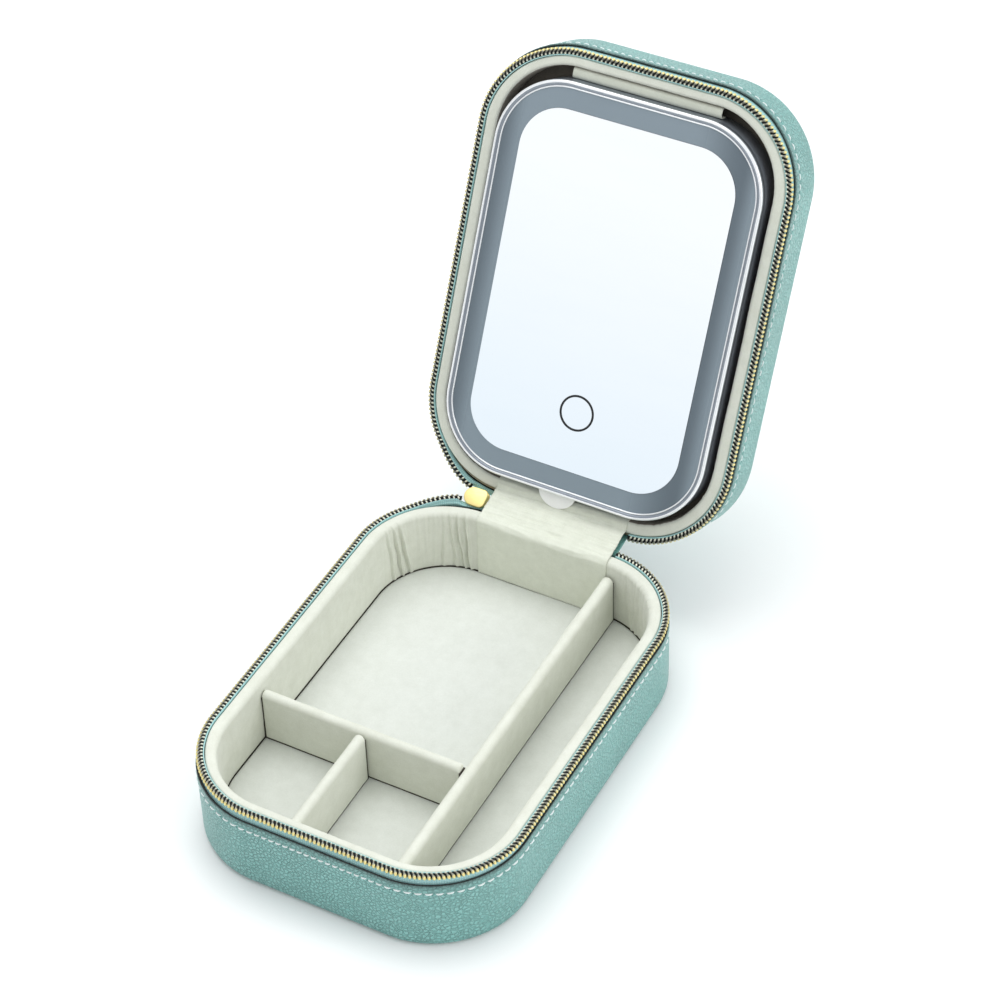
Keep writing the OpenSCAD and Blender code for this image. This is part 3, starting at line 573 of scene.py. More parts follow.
@dataclass(frozen=True)
class CaseSize:
    """Sizes that the whole case shares, in millimetres."""

    width: float = 123.0
    length: float = 171.0
    corner: float = 35.2
    base_h: float = 34.1
    lid_h: float = 24.2
    open_angle: float = 115.65
    hinge_back: float = 2.7
    hinge_drop: float = 2.6
    leather_t: float = 0.9
    panel_t: float = 2.3
    lining_in: float = 7.5
    base_pad: float = 27.5
    lid_pad: float = 10.1
    lean_end: float = 82.0      # how far from the front's middle the zip stops leaning inwards
    lean_run: float = 46.0

    @property
    def outline(self) -> Outline:
        """The outline over the leather."""
        return Outline(self.width, self.length, self.corner)

    @property
    def hinge(self) -> tuple[float, float]:
        """The hinge line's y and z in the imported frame."""
        return self.length / 2 + self.hinge_back, self.base_h - self.hinge_drop

    def place(self, side: Side, points: np.ndarray) -> np.ndarray:
        """Moves points from a half's own frame, in millimetres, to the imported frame, in metres.

        Args:
            side: The half of the case.
            points: The points, with x, y and z last.

        Returns:
            The points in metres.
        """
        p = np.asarray(points, float)
        x, y, z = p[..., 0], p[..., 1], p[..., 2]
        if side is Side.BASE:
            return np.stack([x, y, z + self.base_h], -1) * MM
        hinge_y, hinge_z = self.hinge
        back, up = y - hinge_y, -z + self.base_h - hinge_z
        a = -math.radians(self.open_angle)
        return np.stack([x, hinge_y + back * math.cos(a) - up * math.sin(a),
                         hinge_z + back * math.sin(a) + up * math.cos(a)], -1) * MM

    def front_lean(self, distance: np.ndarray) -> np.ndarray:
        """Returns how strongly the zip leans inwards: fully along the front, and not along the sides."""
        away = np.abs(distance - self.outline.around / 2)
        return ease((self.lean_end - away) / self.lean_run)[:, None]


CASE = CaseSize()


def hash_noise(points: np.ndarray, size: Sequence[float], seed: float = 0.0) -> np.ndarray:
    """Smooth noise at some points.

    Args:
        points: The points, in millimetres, with three numbers a row.
        size: The size of the noise's features along x, y and z, in millimetres.
        seed: Where in the noise to look, so that two uses differ.

    Returns:
        One value a point, from about -1 to 1.
    """
    scaled = np.asarray(points, float).reshape(-1, 3) / np.asarray(size, float) + seed
    return np.array([noise.noise(Vector(p)) for p in scaled]).reshape(np.asarray(points).shape[:-1])


def linked(name: str, data: bpy.types.ID) -> Thing:
    """Makes an object of a mesh, a light or a camera, and links it to the scene.

    Args:
        name: The object's name.
        data: What it shows. A mesh is shaded smoothly.

    Returns:
        The object.
    """
    if isinstance(data, bpy.types.Mesh):
        data.polygons.foreach_set("use_smooth", [True] * len(data.polygons))
    made = bpy.data.objects.new(name, data)
    bpy.context.scene.collection.objects.link(made)
    return made


def built(name: str, work: bmesh.types.BMesh) -> Thing:
    """Makes an object of an edited mesh, which is used up, and returns it."""
    data = bpy.data.meshes.new(name)
    work.to_mesh(data)
    work.free()
    return linked(name, data)


def add_layout(data: bpy.types.Mesh, layout: np.ndarray) -> None:
    """Gives a mesh its texture layout, with two numbers for each face corner."""
    data.uv_layers.new(name="layout").data.foreach_set("uv", layout.reshape(-1).astype(np.float32))


def mesh_from(name: str, points: np.ndarray, faces: np.ndarray, layout: Optional[np.ndarray] = None) -> Thing:
    """Makes an object from points and faces.

    Args:
        name: The piece's name.
        points: The points in metres.
        faces: The faces as rows of point numbers.
        layout: The texture layout of each face corner, in metres.

    Returns:
        The object, linked to the scene.
    """
    data = bpy.data.meshes.new(name)
    data.from_pydata(points.reshape(-1, 3).tolist(), [], faces.tolist())
    if layout is not None:
        add_layout(data, layout)
    work = bmesh.new()
    work.from_mesh(data)
    bmesh.ops.remove_doubles(work, verts=work.verts, dist=1e-7)
    bmesh.ops.recalc_face_normals(work, faces=work.faces)
    work.to_mesh(data)
    work.free()
    return linked(name, data)


def grid_faces(rows: int, columns: int, close_rows: bool, close_columns: bool) -> tuple[np.ndarray, np.ndarray]:
    """Lists the faces of a grid of points.

    Args:
        rows: The number of rows of points.
        columns: The number of points in a row.
        close_rows: Whether the last row joins the first.
        close_columns: Whether the last point of a row joins the first.

    Returns:
        The faces, and the row and column of each corner before they are wrapped round.
    """
    i, j = np.meshgrid(np.arange(rows if close_rows else rows - 1),
                       np.arange(columns if close_columns else columns - 1), indexing="ij")
    corner = np.stack([np.stack([i, j], -1), np.stack([i + 1, j], -1), np.stack([i + 1, j + 1], -1),
                       np.stack([i, j + 1], -1)], -2).reshape(-1, 4, 2)
    return (corner[..., 0] % rows) * columns + corner[..., 1] % columns, corner


def grid(name: str, points: np.ndarray, close_rows: bool = False, close_columns: bool = False,
         caps: bool = False) -> Thing:
    """Makes an object from a grid of points, with a layout that runs along and across it.

    Args:
        name: The piece's name.
        points: The points in metres, as rows by columns by three.
        close_rows: Whether the last row joins the first.
        close_columns: Whether the last point of a row joins the first.
        caps: Whether the first and last rows, which are closed loops, are filled.

    Returns:
        The object.
    """
    faces, corner = grid_faces(*points.shape[:2], close_rows, close_columns)
    step_v = np.linalg.norm(np.diff(points, axis=0), axis=-1).mean(1)
    step_u = np.linalg.norm(np.diff(points, axis=1), axis=-1).mean(0)
    along = np.concatenate([[0], np.cumsum(np.append(step_v, step_v[-1:]))])
    across = np.concatenate([[0], np.cumsum(np.append(step_u, step_u[-1:]))])
    layout = np.stack([along[corner[..., 0]], across[corner[..., 1]]], -1)
    made = mesh_from(name, points, faces, layout)
    if caps:
        work = bmesh.new()
        work.from_mesh(made.data)
        bmesh.ops.holes_fill(work, edges=[e for e in work.edges if e.is_boundary])
        bmesh.ops.recalc_face_normals(work, faces=work.faces)
        work.to_mesh(made.data)
        work.free()
    return made


def sweep(side: Side, outline: Outline, distance: np.ndarray, inset: np.ndarray, height: np.ndarray) -> np.ndarray:
    """Runs a profile round an outline in one half of the case, and returns the points in metres."""
    return CASE.place(side, outline.run(distance, inset, height))


def arc(centre: Pair, radius: float, start: float, end: float, count: int = 5) -> np.ndarray:
    """Returns points on an arc, with its angles in degrees."""
    a = np.radians(np.linspace(start, end, count))
    return np.stack([centre[0] + radius * np.cos(a), centre[1] + radius * np.sin(a)], 1)


def line(start: Sequence[float], end: Sequence[float], step: float) -> np.ndarray:
    """Returns points on a line about a step apart, without its ends."""
    start, end = np.asarray(start, float), np.asarray(end, float)
    count = max(2, int(round(np.linalg.norm(end - start) / step)))
    return start + (end - start) * (np.arange(1, count) / count)[:, None]


def tubes(name: str, paths: np.ndarray, radius: np.ndarray, sides: int = 8, by_share: bool = False) -> Thing:
    """Makes many short round-ended tubes as one object.

    Args:
        name: The piece's name.
        paths: The tubes' centre lines in metres, as tubes by points by three.
        radius: The radius at each point of a path, in metres.
        sides: The number of sides.
        by_share: Whether the layout runs from 0 to 1 along a tube, and not in metres.

    Returns:
        The object.
    """
    count, steps = paths.shape[:2]
    along = np.gradient(paths, axis=1)
    along /= np.linalg.norm(along, axis=-1, keepdims=True)
    chord = paths[:, -1] - paths[:, 0]
    bulge = paths[:, steps // 2] - (paths[:, 0] + paths[:, -1]) / 2
    across = np.cross(chord, bulge)
    weak = np.linalg.norm(across, axis=-1) < 1e-10
    across[weak] = np.cross(chord[weak], [0.3, 0.5, 0.8])
    across /= np.linalg.norm(across, axis=-1, keepdims=True)
    one = across[:, None, :] - along * (along * across[:, None, :]).sum(-1, keepdims=True)
    one /= np.linalg.norm(one, axis=-1, keepdims=True)
    two = np.cross(along, one)
    angle = TAU * np.arange(sides) / sides
    cos, sin = np.cos(angle)[:, None], np.sin(angle)[:, None]
    ring = paths[:, :, None, :] + radius[None, :, None, None] * (one[:, :, None, :] * cos + two[:, :, None, :] * sin)
    tip = 0.6       # how far a round end stands out, as a share of the radius
    ends = np.stack([paths[:, 0] - along[:, 0] * radius[0] * tip, paths[:, -1] + along[:, -1] * radius[-1] * tip], 1)
    faces, corner = grid_faces(steps, sides, False, True)
    size = steps * sides
    start = np.arange(count)[:, None, None] * size
    quads = (faces[None] + start).reshape(-1, 4)
    length = 1.0 if by_share else np.linalg.norm(np.diff(paths[0], axis=0), axis=-1).sum()
    layout = np.stack([corner[..., 0] / (steps - 1) * length, corner[..., 1] / sides * TAU * radius.max()], -1)
    points = np.concatenate([ring.reshape(-1, 3), ends.reshape(-1, 3)])
    tips = count * size + 2 * np.arange(count)
    around = np.arange(sides)
    first = np.stack(np.broadcast_arrays(tips[:, None], start[:, :, 0] + (around + 1) % sides,
                                         start[:, :, 0] + around), -1).reshape(-1, 3)
    last_ring = start[:, :, 0] + (steps - 1) * sides
    last = np.stack(np.broadcast_arrays(tips[:, None] + 1, last_ring + around,
                                        last_ring + (around + 1) % sides), -1).reshape(-1, 3)
    data = bpy.data.meshes.new(name)
    data.from_pydata(points.tolist(), [], quads.tolist() + first.tolist() + last.tolist())
    add_layout(data, np.concatenate([np.tile(layout, (count, 1, 1)).reshape(-1, 2),
                                     np.zeros(((len(first) + len(last)) * 3, 2))]))
    return linked(name, data)


def burnish(made: Thing, amount: np.ndarray) -> None:
    """Marks how much darker each point of a piece is painted, from 0 to 1: painted shade, and on the coil also its
    dark dye.
    """
    made.data.attributes.new("burnish", "FLOAT", "POINT").data.foreach_set("value", amount.reshape(-1))


def paint(made: Thing, stock: Stock, columns: np.ndarray, rows: int) -> None:
    """Gives some faces of a grid a second material.

    Args:
        made: The piece, whose first faces run row by row.
        stock: The second material.
        columns: Which faces of a row get it.
        rows: The number of rows.
    """
    made.data.materials.append(stock.value.build())
    chosen = np.zeros(len(made.data.polygons), int)
    made.data.polygons.foreach_get("material_index", chosen)
    last = len(made.data.materials) - 1
    chosen[:rows * len(columns)] = np.where(np.tile(columns, rows), last, chosen[:rows * len(columns)])
    made.data.polygons.foreach_set("material_index", chosen)


def board(name: str, shape: np.ndarray, low: float, high: float, bevel: float) -> Thing:
    """Makes a flat plate from its outline, with rounded edges.

    Args:
        name: The piece's name.
        shape: The outline's points in millimetres, in order.
        low: The height of its underside.
        high: The height of its top.
        bevel: The radius of its edges.

    Returns:
        The object, in metres, lying flat.
    """
    work = bmesh.new()
    face = work.faces.new([work.verts.new((x * MM, y * MM, low * MM)) for x, y in shape])
    grown = bmesh.ops.extrude_face_region(work, geom=[face])
    bmesh.ops.translate(work, vec=(0, 0, (high - low) * MM),
                        verts=[g for g in grown["geom"] if isinstance(g, bmesh.types.BMVert)])
    bmesh.ops.recalc_face_normals(work, faces=work.faces)
    rims = [e for e in work.edges if len(e.link_faces) == 2 and e.calc_face_angle(0) > 1.2]
    bmesh.ops.bevel(work, geom=rims, offset=bevel * MM, segments=3, profile=0.5, affect="EDGES")
    return built(name, work)


def finish_piece(made: Thing, body: str, stock: Stock, slot: str, *nodes: str) -> Thing:
    """Dresses a piece, sets it on its body and hides the CAD nodes that it replaces.

    Args:
        made: The piece.
        body: The body that it rides on.
        stock: Its material.
        slot: The record's material slot; not used.
        *nodes: The CAD nodes that it replaces.

    Returns:
        The piece.
    """
    dress(made, stock)
    if body:
        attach(made, body)
    if nodes:
        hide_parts(*nodes)
    log.info("%s: %d points, rides on %s", made.name, len(made.data.vertices), body or "two bodies")
    return made


# ---------------------------------------------------------------- the halves of the case

@dataclass
class Shell:
    """The leather, stitching and zip of one half of the case. Drops are measured down from the zip line."""

    side: Side
    height: float
    lead_out: float             # how far the zip swings out beside the parked slider
    lead_end: float = 58.0      # where round the outline that swing ends
    lead_run: float = 22.0
    leather_drop: float = 3.5
    edge_r: float = 0.4
    uneven: float = 0.1         # swelling of the hand-covered wall
    wavy: float = 0.12          # waviness of its upper edge
    stitch_drop: float = 7.5
    stitch_pitch: float = 3.6
    front_pitch: float = 2.75
    stitch_share: float = 0.68
    thread_r: float = 0.36
    sink: float = 0.5           # how far a stitch's ends are drawn down
    groove_w: float = 0.42      # the stitch line's groove, its needle holes and the pinch round it
    groove_d: float = 0.22
    hole_w: float = 0.4
    hole_d: float = 0.14
    pinch_w: float = 2.2
    pinch_d: float = 0.07
    tape_in: float = 0.96
    tape_t: float = 0.5
    tape_reach: float = 11.0
    tape_inside: float = 2.3
    tape_edge: float = 2.74
    tape_seat: float = -1.95
    parked_end: float = 38.0    # where the tape is pressed down under the parked slider
    parked_drop: float = 2.2
    chain_in: float = 1.475
    chain_left: float = 36.6
    chain_right: float = 28.0
    lean_in: float = 1.1
    lean_up: float = 0.1
    tooth_pitch: float = 1.61
    tooth_r: float = 0.37
    cord_r: float = 0.56
    cord_drop: float = 1.22

    # The coil's loop: how far along, inwards and up it runs, how thick it is and how much darker it is painted, for
    # the dark-dyed nylon and as painted shade.
    loop = np.array([(0.62, -0.92, -1.74, 1.6, 0.0), (0.58, -0.96, -1.35, 1.65, 0.0),
                     (0.46, -0.9, -0.95, 1.55, 0.0), (0.24, -0.6, -0.62, 0.98, 0.75),
                     (0.0, -0.1, -0.5, 0.7, 0.85), (-0.2, 0.36, -0.55, 0.95, 0.0),
                     (-0.34, 0.64, -0.78, 0.95, 0.0), (-0.42, 0.74, -1.15, 0.65, 0.6),
                     (-0.44, 0.7, -1.5, 0.5, 1.0)])

    def name(self, part: str) -> str:
        """Names a piece of this half."""
        return f"{self.side.value}_{part}"

    def sewing(self) -> tuple[np.ndarray, np.ndarray, np.ndarray]:
        """Works out how the machine ran round the case: its stitches are shorter along the front.

        Returns:
            Distances round the outline, the stitches sewn before each, and the pitch there.
        """
        around = CASE.outline.around
        distance = np.linspace(0, around, 4001)
        from_front = np.abs(distance - around / 2) - CASE.outline.runs()[4][0] / 2
        share = np.clip(from_front / 12 + 0.5, 0, 1)
        pitch = self.front_pitch + (self.stitch_pitch - self.front_pitch) * share
        sewn = np.concatenate([[0], np.cumsum(np.diff(distance) / pitch[1:])])
        return distance, sewn * round(sewn[-1]) / sewn[-1], pitch

    def lead(self, distance: np.ndarray, height: np.ndarray) -> np.ndarray:
        """Works out how far the zip swings out of its line where it runs up to the parked slider.

        Args:
            distance: Distances round the outline.
            height: Heights of the profile's points, one row for all places.

        Returns:
            The distance outwards, one row a place.
        """
        near = ease((self.lead_end - distance) / self.lead_run)[:, None]
        return self.lead_out * near * np.clip((height + 6) / 4.5, 0, 1)

    def swing(self, distance: np.ndarray) -> tuple[np.ndarray, np.ndarray]:
        """Returns how far the coil lies inwards and up, out of its line, at distances round the outline."""
        tilt = CASE.front_lean(distance)
        return tilt * self.lean_in - self.lead(distance, np.zeros((1, 1))), tilt * self.lean_up

    def leather_wall(self) -> None:
        """Builds the leather skin: edge paint, painted shade below the zip, a pinched stitch line and a hand-covered
        unevenness.
        """
        t, edge, turn = CASE.leather_t, self.edge_r, CASE.leather_t / 2
        low, top = -self.height + CASE.panel_t + GLUE, -self.leather_drop
        near = [-self.stitch_drop - 1.6, -self.stitch_drop + 1.6]       # the finer stretch round the groove
        outer = np.concatenate([line((0, low + edge), (0, near[0]), 0.7), line((0, near[0]), (0, near[1]), 0.16),
                                line((0, near[1]), (0, top - turn), 0.4)])
        profile = np.concatenate([arc((edge, low + edge), edge, 270, 180), outer,
                                  arc((turn, top - turn), turn, 180, 0, 9), line((t, top - turn), (t, low), 3.0),
                                  [[t, low]]])
        spaces, sewn, pitches = self.sewing()
        stitches = np.arange(8 * round(sewn[-1])) / 8
        distance = np.interp(stitches, sewn, spaces)
        pitch = np.interp(distance, spaces, pitches)
        inset, height = np.tile(profile.T[:, None], (1, len(distance), 1))
        skin = (profile[:, 0] < t - 0.01)[None, :]
        from_line = height + self.stitch_drop
        phase = (np.abs(stitches % 1 - 0.5) * pitch)[:, None]
        hole = np.exp(-((phase - self.stitch_share * pitch[:, None] / 2) / self.hole_w) ** 2)
        groove = (np.exp(-(from_line / self.groove_w) ** 2) * (self.groove_d + self.hole_d * hole)
                  - self.pinch_d * np.exp(-(from_line / self.pinch_w) ** 2))
        where = CASE.outline.run(distance, 0 * inset, height)
        swell = self.uneven * hash_noise(where, (34, 34, 14), 3.1 + self.height)
        inset = inset + skin * (groove + swell * np.clip((height - low) / 4, 0, 1))
        wave = self.wavy * hash_noise(where * [1, 1, 0], (19, 19, 19), 8.7)
        height = height + np.clip((height - top + 3) / 3, 0, 1) * wave
        made = grid(self.name("leather_wall"), sweep(self.side, CASE.outline, distance, inset, height), True, True)
        finish_piece(made, self.side.value, Stock.LEATHER, "teal_leather", self.name("wall_leather"))
        # Painted shade: the leather darkens towards its top edge, where the zip shades the groove.
        burnish(made, skin * np.exp(-np.clip(top - height, 0, None) / 1.3))
        cut = np.zeros(len(profile), bool)
        turned = 5 + len(outer)
        cut[[0, 1, -1]] = True
        # On the top edge the edge paint is widened to paint the shade in the gap under the tape.
        cut[turned + (2 if self.side is Side.BASE else 4):turned + 10] = True
        paint(made, Stock.EDGE, cut, len(distance))

    def stitching(self) -> None:
        """Builds each stitch of the top stitching, its ends drawn down into the leather."""
        spaces, sewn, pitches = self.sewing()
        middle = np.interp(np.arange(round(sewn[-1])) + 0.5, sewn, spaces)
        half = np.interp(middle, spaces, pitches) * self.stitch_share / 2
        t = np.linspace(-1, 1, 9)
        paths = np.stack([sweep(self.side, CASE.outline, middle + step * half,
                                np.array([[-0.03 + self.sink * abs(step) ** 4]]),
                                np.array([[-self.stitch_drop + 0.09 * step]]))[:, 0] for step in t], 1)
        made = tubes(self.name("top_stitching"), paths, self.thread_r * (1 - 0.3 * np.abs(t) ** 3) * MM)
        finish_piece(made, self.side.value, Stock.THREAD, "white_thread", self.name("stitch_thread"))

    def tape(self) -> None:
        """Builds the woven tape: its outer face below the coil, and its inner face beside the coil."""
        outline, low = CASE.outline, -self.tape_reach
        distance = np.linspace(self.chain_right, outline.around - self.chain_right, 1000)
        outer, back, seat = self.tape_in, self.tape_in + self.tape_t, self.tape_seat
        inside, edge, rise, fall = self.tape_inside, self.tape_edge, -0.95, -2.75
        profile = np.concatenate([
            [[outer, low]], line((outer, low), (outer, seat - 0.15), 0.6),
            arc((outer + 0.15, seat - 0.15), 0.15, 180, 90, 4), line((outer + 0.15, seat), (inside - 0.1, seat), 0.4),
            [[inside, seat + 0.15]], arc(((inside + edge) / 2, rise), (edge - inside) / 2, 180, 0, 7),
            line((edge, rise), (edge, fall), 0.5), [[edge - 0.1, -2.88], [back + 0.1, -2.95], [back, -3.1]],
            line((back, -3.1), (back, low), 2.0), [[back, low]]])
        across, up = profile.T[:, None]
        flat = outline.run(distance, np.zeros(1), np.zeros(1))[:, 0]
        ripple = 0.05 * hash_noise(flat, (5, 5, 5), 4.4)[:, None]
        sway = 0.08 * hash_noise(flat, (11, 11, 11), 1.4)[:, None] * np.clip((up + 2.5) / 2, 0, 1)
        tilt = CASE.front_lean(distance) * np.clip((up + 4.5) / 3.5, 0, 1)
        parked = np.clip((self.parked_end - distance) / 2, 0, 1)[:, None] * np.clip((up + 3.2) / 2.5, 0, 1)
        inset = across + ripple - self.lead(distance, up) + tilt * self.lean_in
        height = up + sway + tilt * self.lean_up - self.parked_drop * parked
        made = grid(self.name("woven_tape"), sweep(self.side, outline, distance, inset, height), False, True,
                    caps=True)
        finish_piece(made, self.side.value, Stock.TAPE, "teal_tape", self.name("zip_tape"))

    def chain(self) -> None:
        """Builds the zip's coil, one slanted loop a tooth, and the dark cord inside it."""
        chain, sides = CASE.outline.inset(self.chain_in), 8
        bend = CASE.outline.width / 2 - CASE.outline.radius
        past = math.asin((self.chain_left - bend) / chain.radius) * chain.radius
        start, end = bend + past, chain.around - self.chain_right
        count = int((end - start) / self.tooth_pitch)
        middle = start + (np.arange(count) + 0.5) * (end - start) / count
        inwards, lift = self.swing(middle)
        paths = np.stack([sweep(self.side, chain, middle + along, across + inwards, up + lift)[:, 0]
                          for along, across, up in self.loop[:, :3]], 1)
        teeth = tubes(self.name("coil_teeth"), paths, self.tooth_r * self.loop[:, 3] * MM, sides, by_share=True)
        finish_piece(teeth, self.side.value, Stock.COIL, "gold_metal", self.name("zip_teeth"))
        # Painted shade: each loop's outer leg is darkened on one side of its round, the listed amounts darken the
        # rest, and each loop's inner end cap is darkened too.
        shaded = np.clip(0.3 + 1.4 * np.sin(TAU * np.arange(sides) / sides), 0, 1)
        amount = np.maximum(self.loop[:, 4:], shaded * (np.arange(len(self.loop)) < 4)[:, None])
        amount[:3] = shaded
        burnish(teeth, np.concatenate([np.tile(amount.reshape(-1), count), np.tile([0.0, 1.0], count)]))
        distance = np.linspace(start - 0.4, end + 0.4, 500)
        across, up = arc((0, -self.cord_drop), self.cord_r, 0, 360, 17)[:-1].T[:, None]
        inwards, lift = self.swing(distance)
        made = sweep(self.side, chain, distance, across * 1.75 + inwards, up + lift)
        cord = grid(self.name("coil_cord"), made, False, True, caps=True)
        finish_piece(cord, self.side.value, Stock.CORD, "teal_tape")

    def outer_panel(self, node: str) -> None:
        """Builds the leather-covered panel on the outer face, slightly crowned, with a painted edge.

        Args:
            node: The CAD node that it replaces.
        """
        inset, edge, crown = 0.4, 1.15, 0.3
        face, back = -self.height, -self.height + CASE.panel_t
        rings = [(inset + edge * (1 - math.sin(a)), face + edge * (1 - math.cos(a)) + crown)
                 for a in np.radians(np.linspace(90, 0, 7))]
        rings += [(inset + edge + d, face + crown * (1 - min(1.0, d / 12) ** 0.6)) for d in (0.5, 1, 2, 4, 7, 12, 20)]
        rings.append((CASE.corner, face))
        profile = np.array([(inset + 0.3, back), (inset, back - 0.3)] + rings)
        made = plate_mesh(self.side, self.name("leather_panel"), profile, back)
        finish_piece(made, self.side.value, Stock.LEATHER, "teal_leather", node)
        cut = np.zeros(len(profile), bool)
        cut[:2] = True
        paint(made, Stock.SPINE, cut, len(CASE.outline.marks(PLATE_STEP)))


def plate_mesh(side: Side, name: str, profile: np.ndarray, back: float, uneven: float = 0.0,
               seed: float = 0.0) -> Thing:
    """Makes a closed plate: an edge profile run round the case's outline, and the middles of both faces.

    Args:
        side: The half of the case that it belongs to.
        name: The piece's name.
        profile: Insets and heights from the back's edge round to where the corners' radius ends.
        back: The height of the back face.
        uneven: How far the face swells and sinks, in millimetres.
        seed: Where in the noise to look.

    Returns:
        The object.
    """
    outline = CASE.outline
    profile = np.concatenate([[(outline.radius, back)], profile])
    points = outline.run(outline.marks(PLATE_STEP), *profile.T)
    a, b = outline.width / 2 - outline.radius, outline.length / 2 - outline.radius
    half, side_count = max(1, round(a / PLATE_STEP)), max(1, round(2 * b / PLATE_STEP))
    xs, ys = np.linspace(-a, a, 2 * half + 1), np.linspace(-b, b, side_count + 1)
    middle = np.stack(np.meshgrid(xs, ys, indexing="ij"), -1)
    face, rear = (np.concatenate([middle, np.full((*middle.shape[:2], 1), level)], -1)
                  for level in (profile[-1, 1], back))
    blocks, faces, start = [], [], 0
    for block, closed in ((points, True), (face, False), (rear, False)):
        faces.append(grid_faces(*block.shape[:2], closed, False)[0] + start)
        blocks.append(block.reshape(-1, 3))
        start += len(blocks[-1])
    joined = np.concatenate(blocks)
    if uneven:
        shown = np.abs(joined[:, 2] - back) > 0.3
        inner = np.clip((outline.width / 2 - np.abs(joined[:, 0])) / 12, 0, 1)
        joined[:, 2] += shown * inner * uneven * hash_noise(joined * [1, 1, 0], (22, 22, 22), seed)
    return mesh_from(name, CASE.place(side, joined), np.concatenate(faces))


@dataclass
class Padding:
    """The padded wall lining of one half, with its rolled rim."""

    side: Side
    floor: float
    face_in: float = 7.5
    back_in: float = 3.56
    lip_in: float = 3.0
    rim_drop: float = 0.9
    rim_r: float = 2.0
    lip_r: float = 0.8
    foot_r: float = 0.5
    under: float = 3.04
    places: int = 1900
    belly: float = 0.22         # how far the foam bulges
    soft: float = 0.16          # its broad and its fine unevenness
    fine: float = 0.05
    streak: float = 0.05        # streaks of the nap, and more of them round the rear corners
    rear_streak: float = 0.16
    rear_at: float = 50.0
    rear_run: float = 22.0
    wrinkles: Sequence[tuple[float, float, float, float]] = ()      # places, widths, leans and depths

    def section(self, low: float, wall_top: float) -> np.ndarray:
        """Returns the lining's section, from its foot over the rim and down behind it.

        Args:
            low: The height of its foot.
            wall_top: Where the rim's round starts.

        Returns:
            Insets and heights.
        """
        foot, rim, lip = self.foot_r, self.rim_r, self.lip_in + self.lip_r
        return np.concatenate([
            arc((self.face_in - foot, low + foot), foot, 270, 360, 6),
            line((self.face_in, low + foot), (self.face_in, wall_top), 1.1),
            arc((self.face_in - rim, wall_top), rim, 0, 90, 9),
            line((self.face_in - rim, -self.rim_drop), (lip, -self.rim_drop), 0.5),
            arc((lip, -self.rim_drop - self.lip_r), self.lip_r, 90, 180, 6),
            [[self.lip_in, -self.under], [self.back_in, -self.under]],
            line((self.back_in, -self.under), (self.back_in, low), 4.0), [[self.back_in, low]]])

    def build(self) -> None:
        low, wall_top = -self.floor + GLUE, -self.rim_drop - self.rim_r
        profile = self.section(low, wall_top)
        outline = CASE.outline
        distance = np.arange(self.places) / self.places * outline.around
        inset, height = np.tile(profile.T[:, None], (1, len(distance), 1))
        face = np.clip((inset - 5.0) / 2.0, 0, 1)
        up = np.clip((height - low) / (wall_top - low), 0, 1)
        where = outline.run(distance, inset, height)
        belly = self.belly * np.sin(np.pi * up) * (height < wall_top)
        soft = self.soft * hash_noise(where, (17, 17, 11), 1.7) + self.fine * hash_noise(where, (4, 4, 3), 6.2)
        from_hinge = np.minimum(distance, outline.around - distance)
        rear = np.exp(-((from_hinge - self.rear_at) / self.rear_run) ** 2)[:, None]
        along = np.stack([np.broadcast_to(distance[:, None], height.shape), 0 * height, height], -1)
        streak = hash_noise(along, (1.5, 1, 16), 5.9) + 0.7 * hash_noise(along, (3.2, 1, 11), 1.3)
        push = face * (belly + (soft + streak * (self.streak + self.rear_streak * rear)) * (up > 0.04))
        share = outline.around / outline.inset(self.face_in).around
        reach = np.sin(np.pi * np.clip(up * 0.86 + 0.12, 0, 1)) ** 0.5
        for spot, width, lean, size in self.wrinkles:
            wander = spot + lean * (up - 0.5) * 9 + 0.9 * hash_noise(where * [0, 0, 1], (9, 9, 6), spot)
            away = (distance[:, None] - wander) / width
            fold = 1.2 * np.exp(-away ** 2) - 1.1 * np.exp(-np.abs(away - 1.3) ** 1.5 * 2.2)
            push = push + face * size * fold * reach * share
        lip = CASE.front_lean(distance) * np.clip((5.5 - inset) / 1.5, 0, 1) * (height > -3.2)
        inset = inset + push + 0.95 * lip
        height = height + (1 - face) * 0.12 * hash_noise(where * [1, 1, 0], (13, 13, 13), 2.9) * (height > -2.2)
        made = grid(f"{self.side.value}_padded_lining", sweep(self.side, outline, distance, inset, height), True, True)
        finish_piece(made, self.side.value, Stock.SUEDE, "cream_suede", f"{self.side.value}_lining")
        if self.side is Side.LID:
            # Painted shade: the lining below its rim is painted brown-grey for the gap round the mirror.
            paint(made, Stock.RECESS, profile[:, 1] < wall_top + 0.5, len(distance))


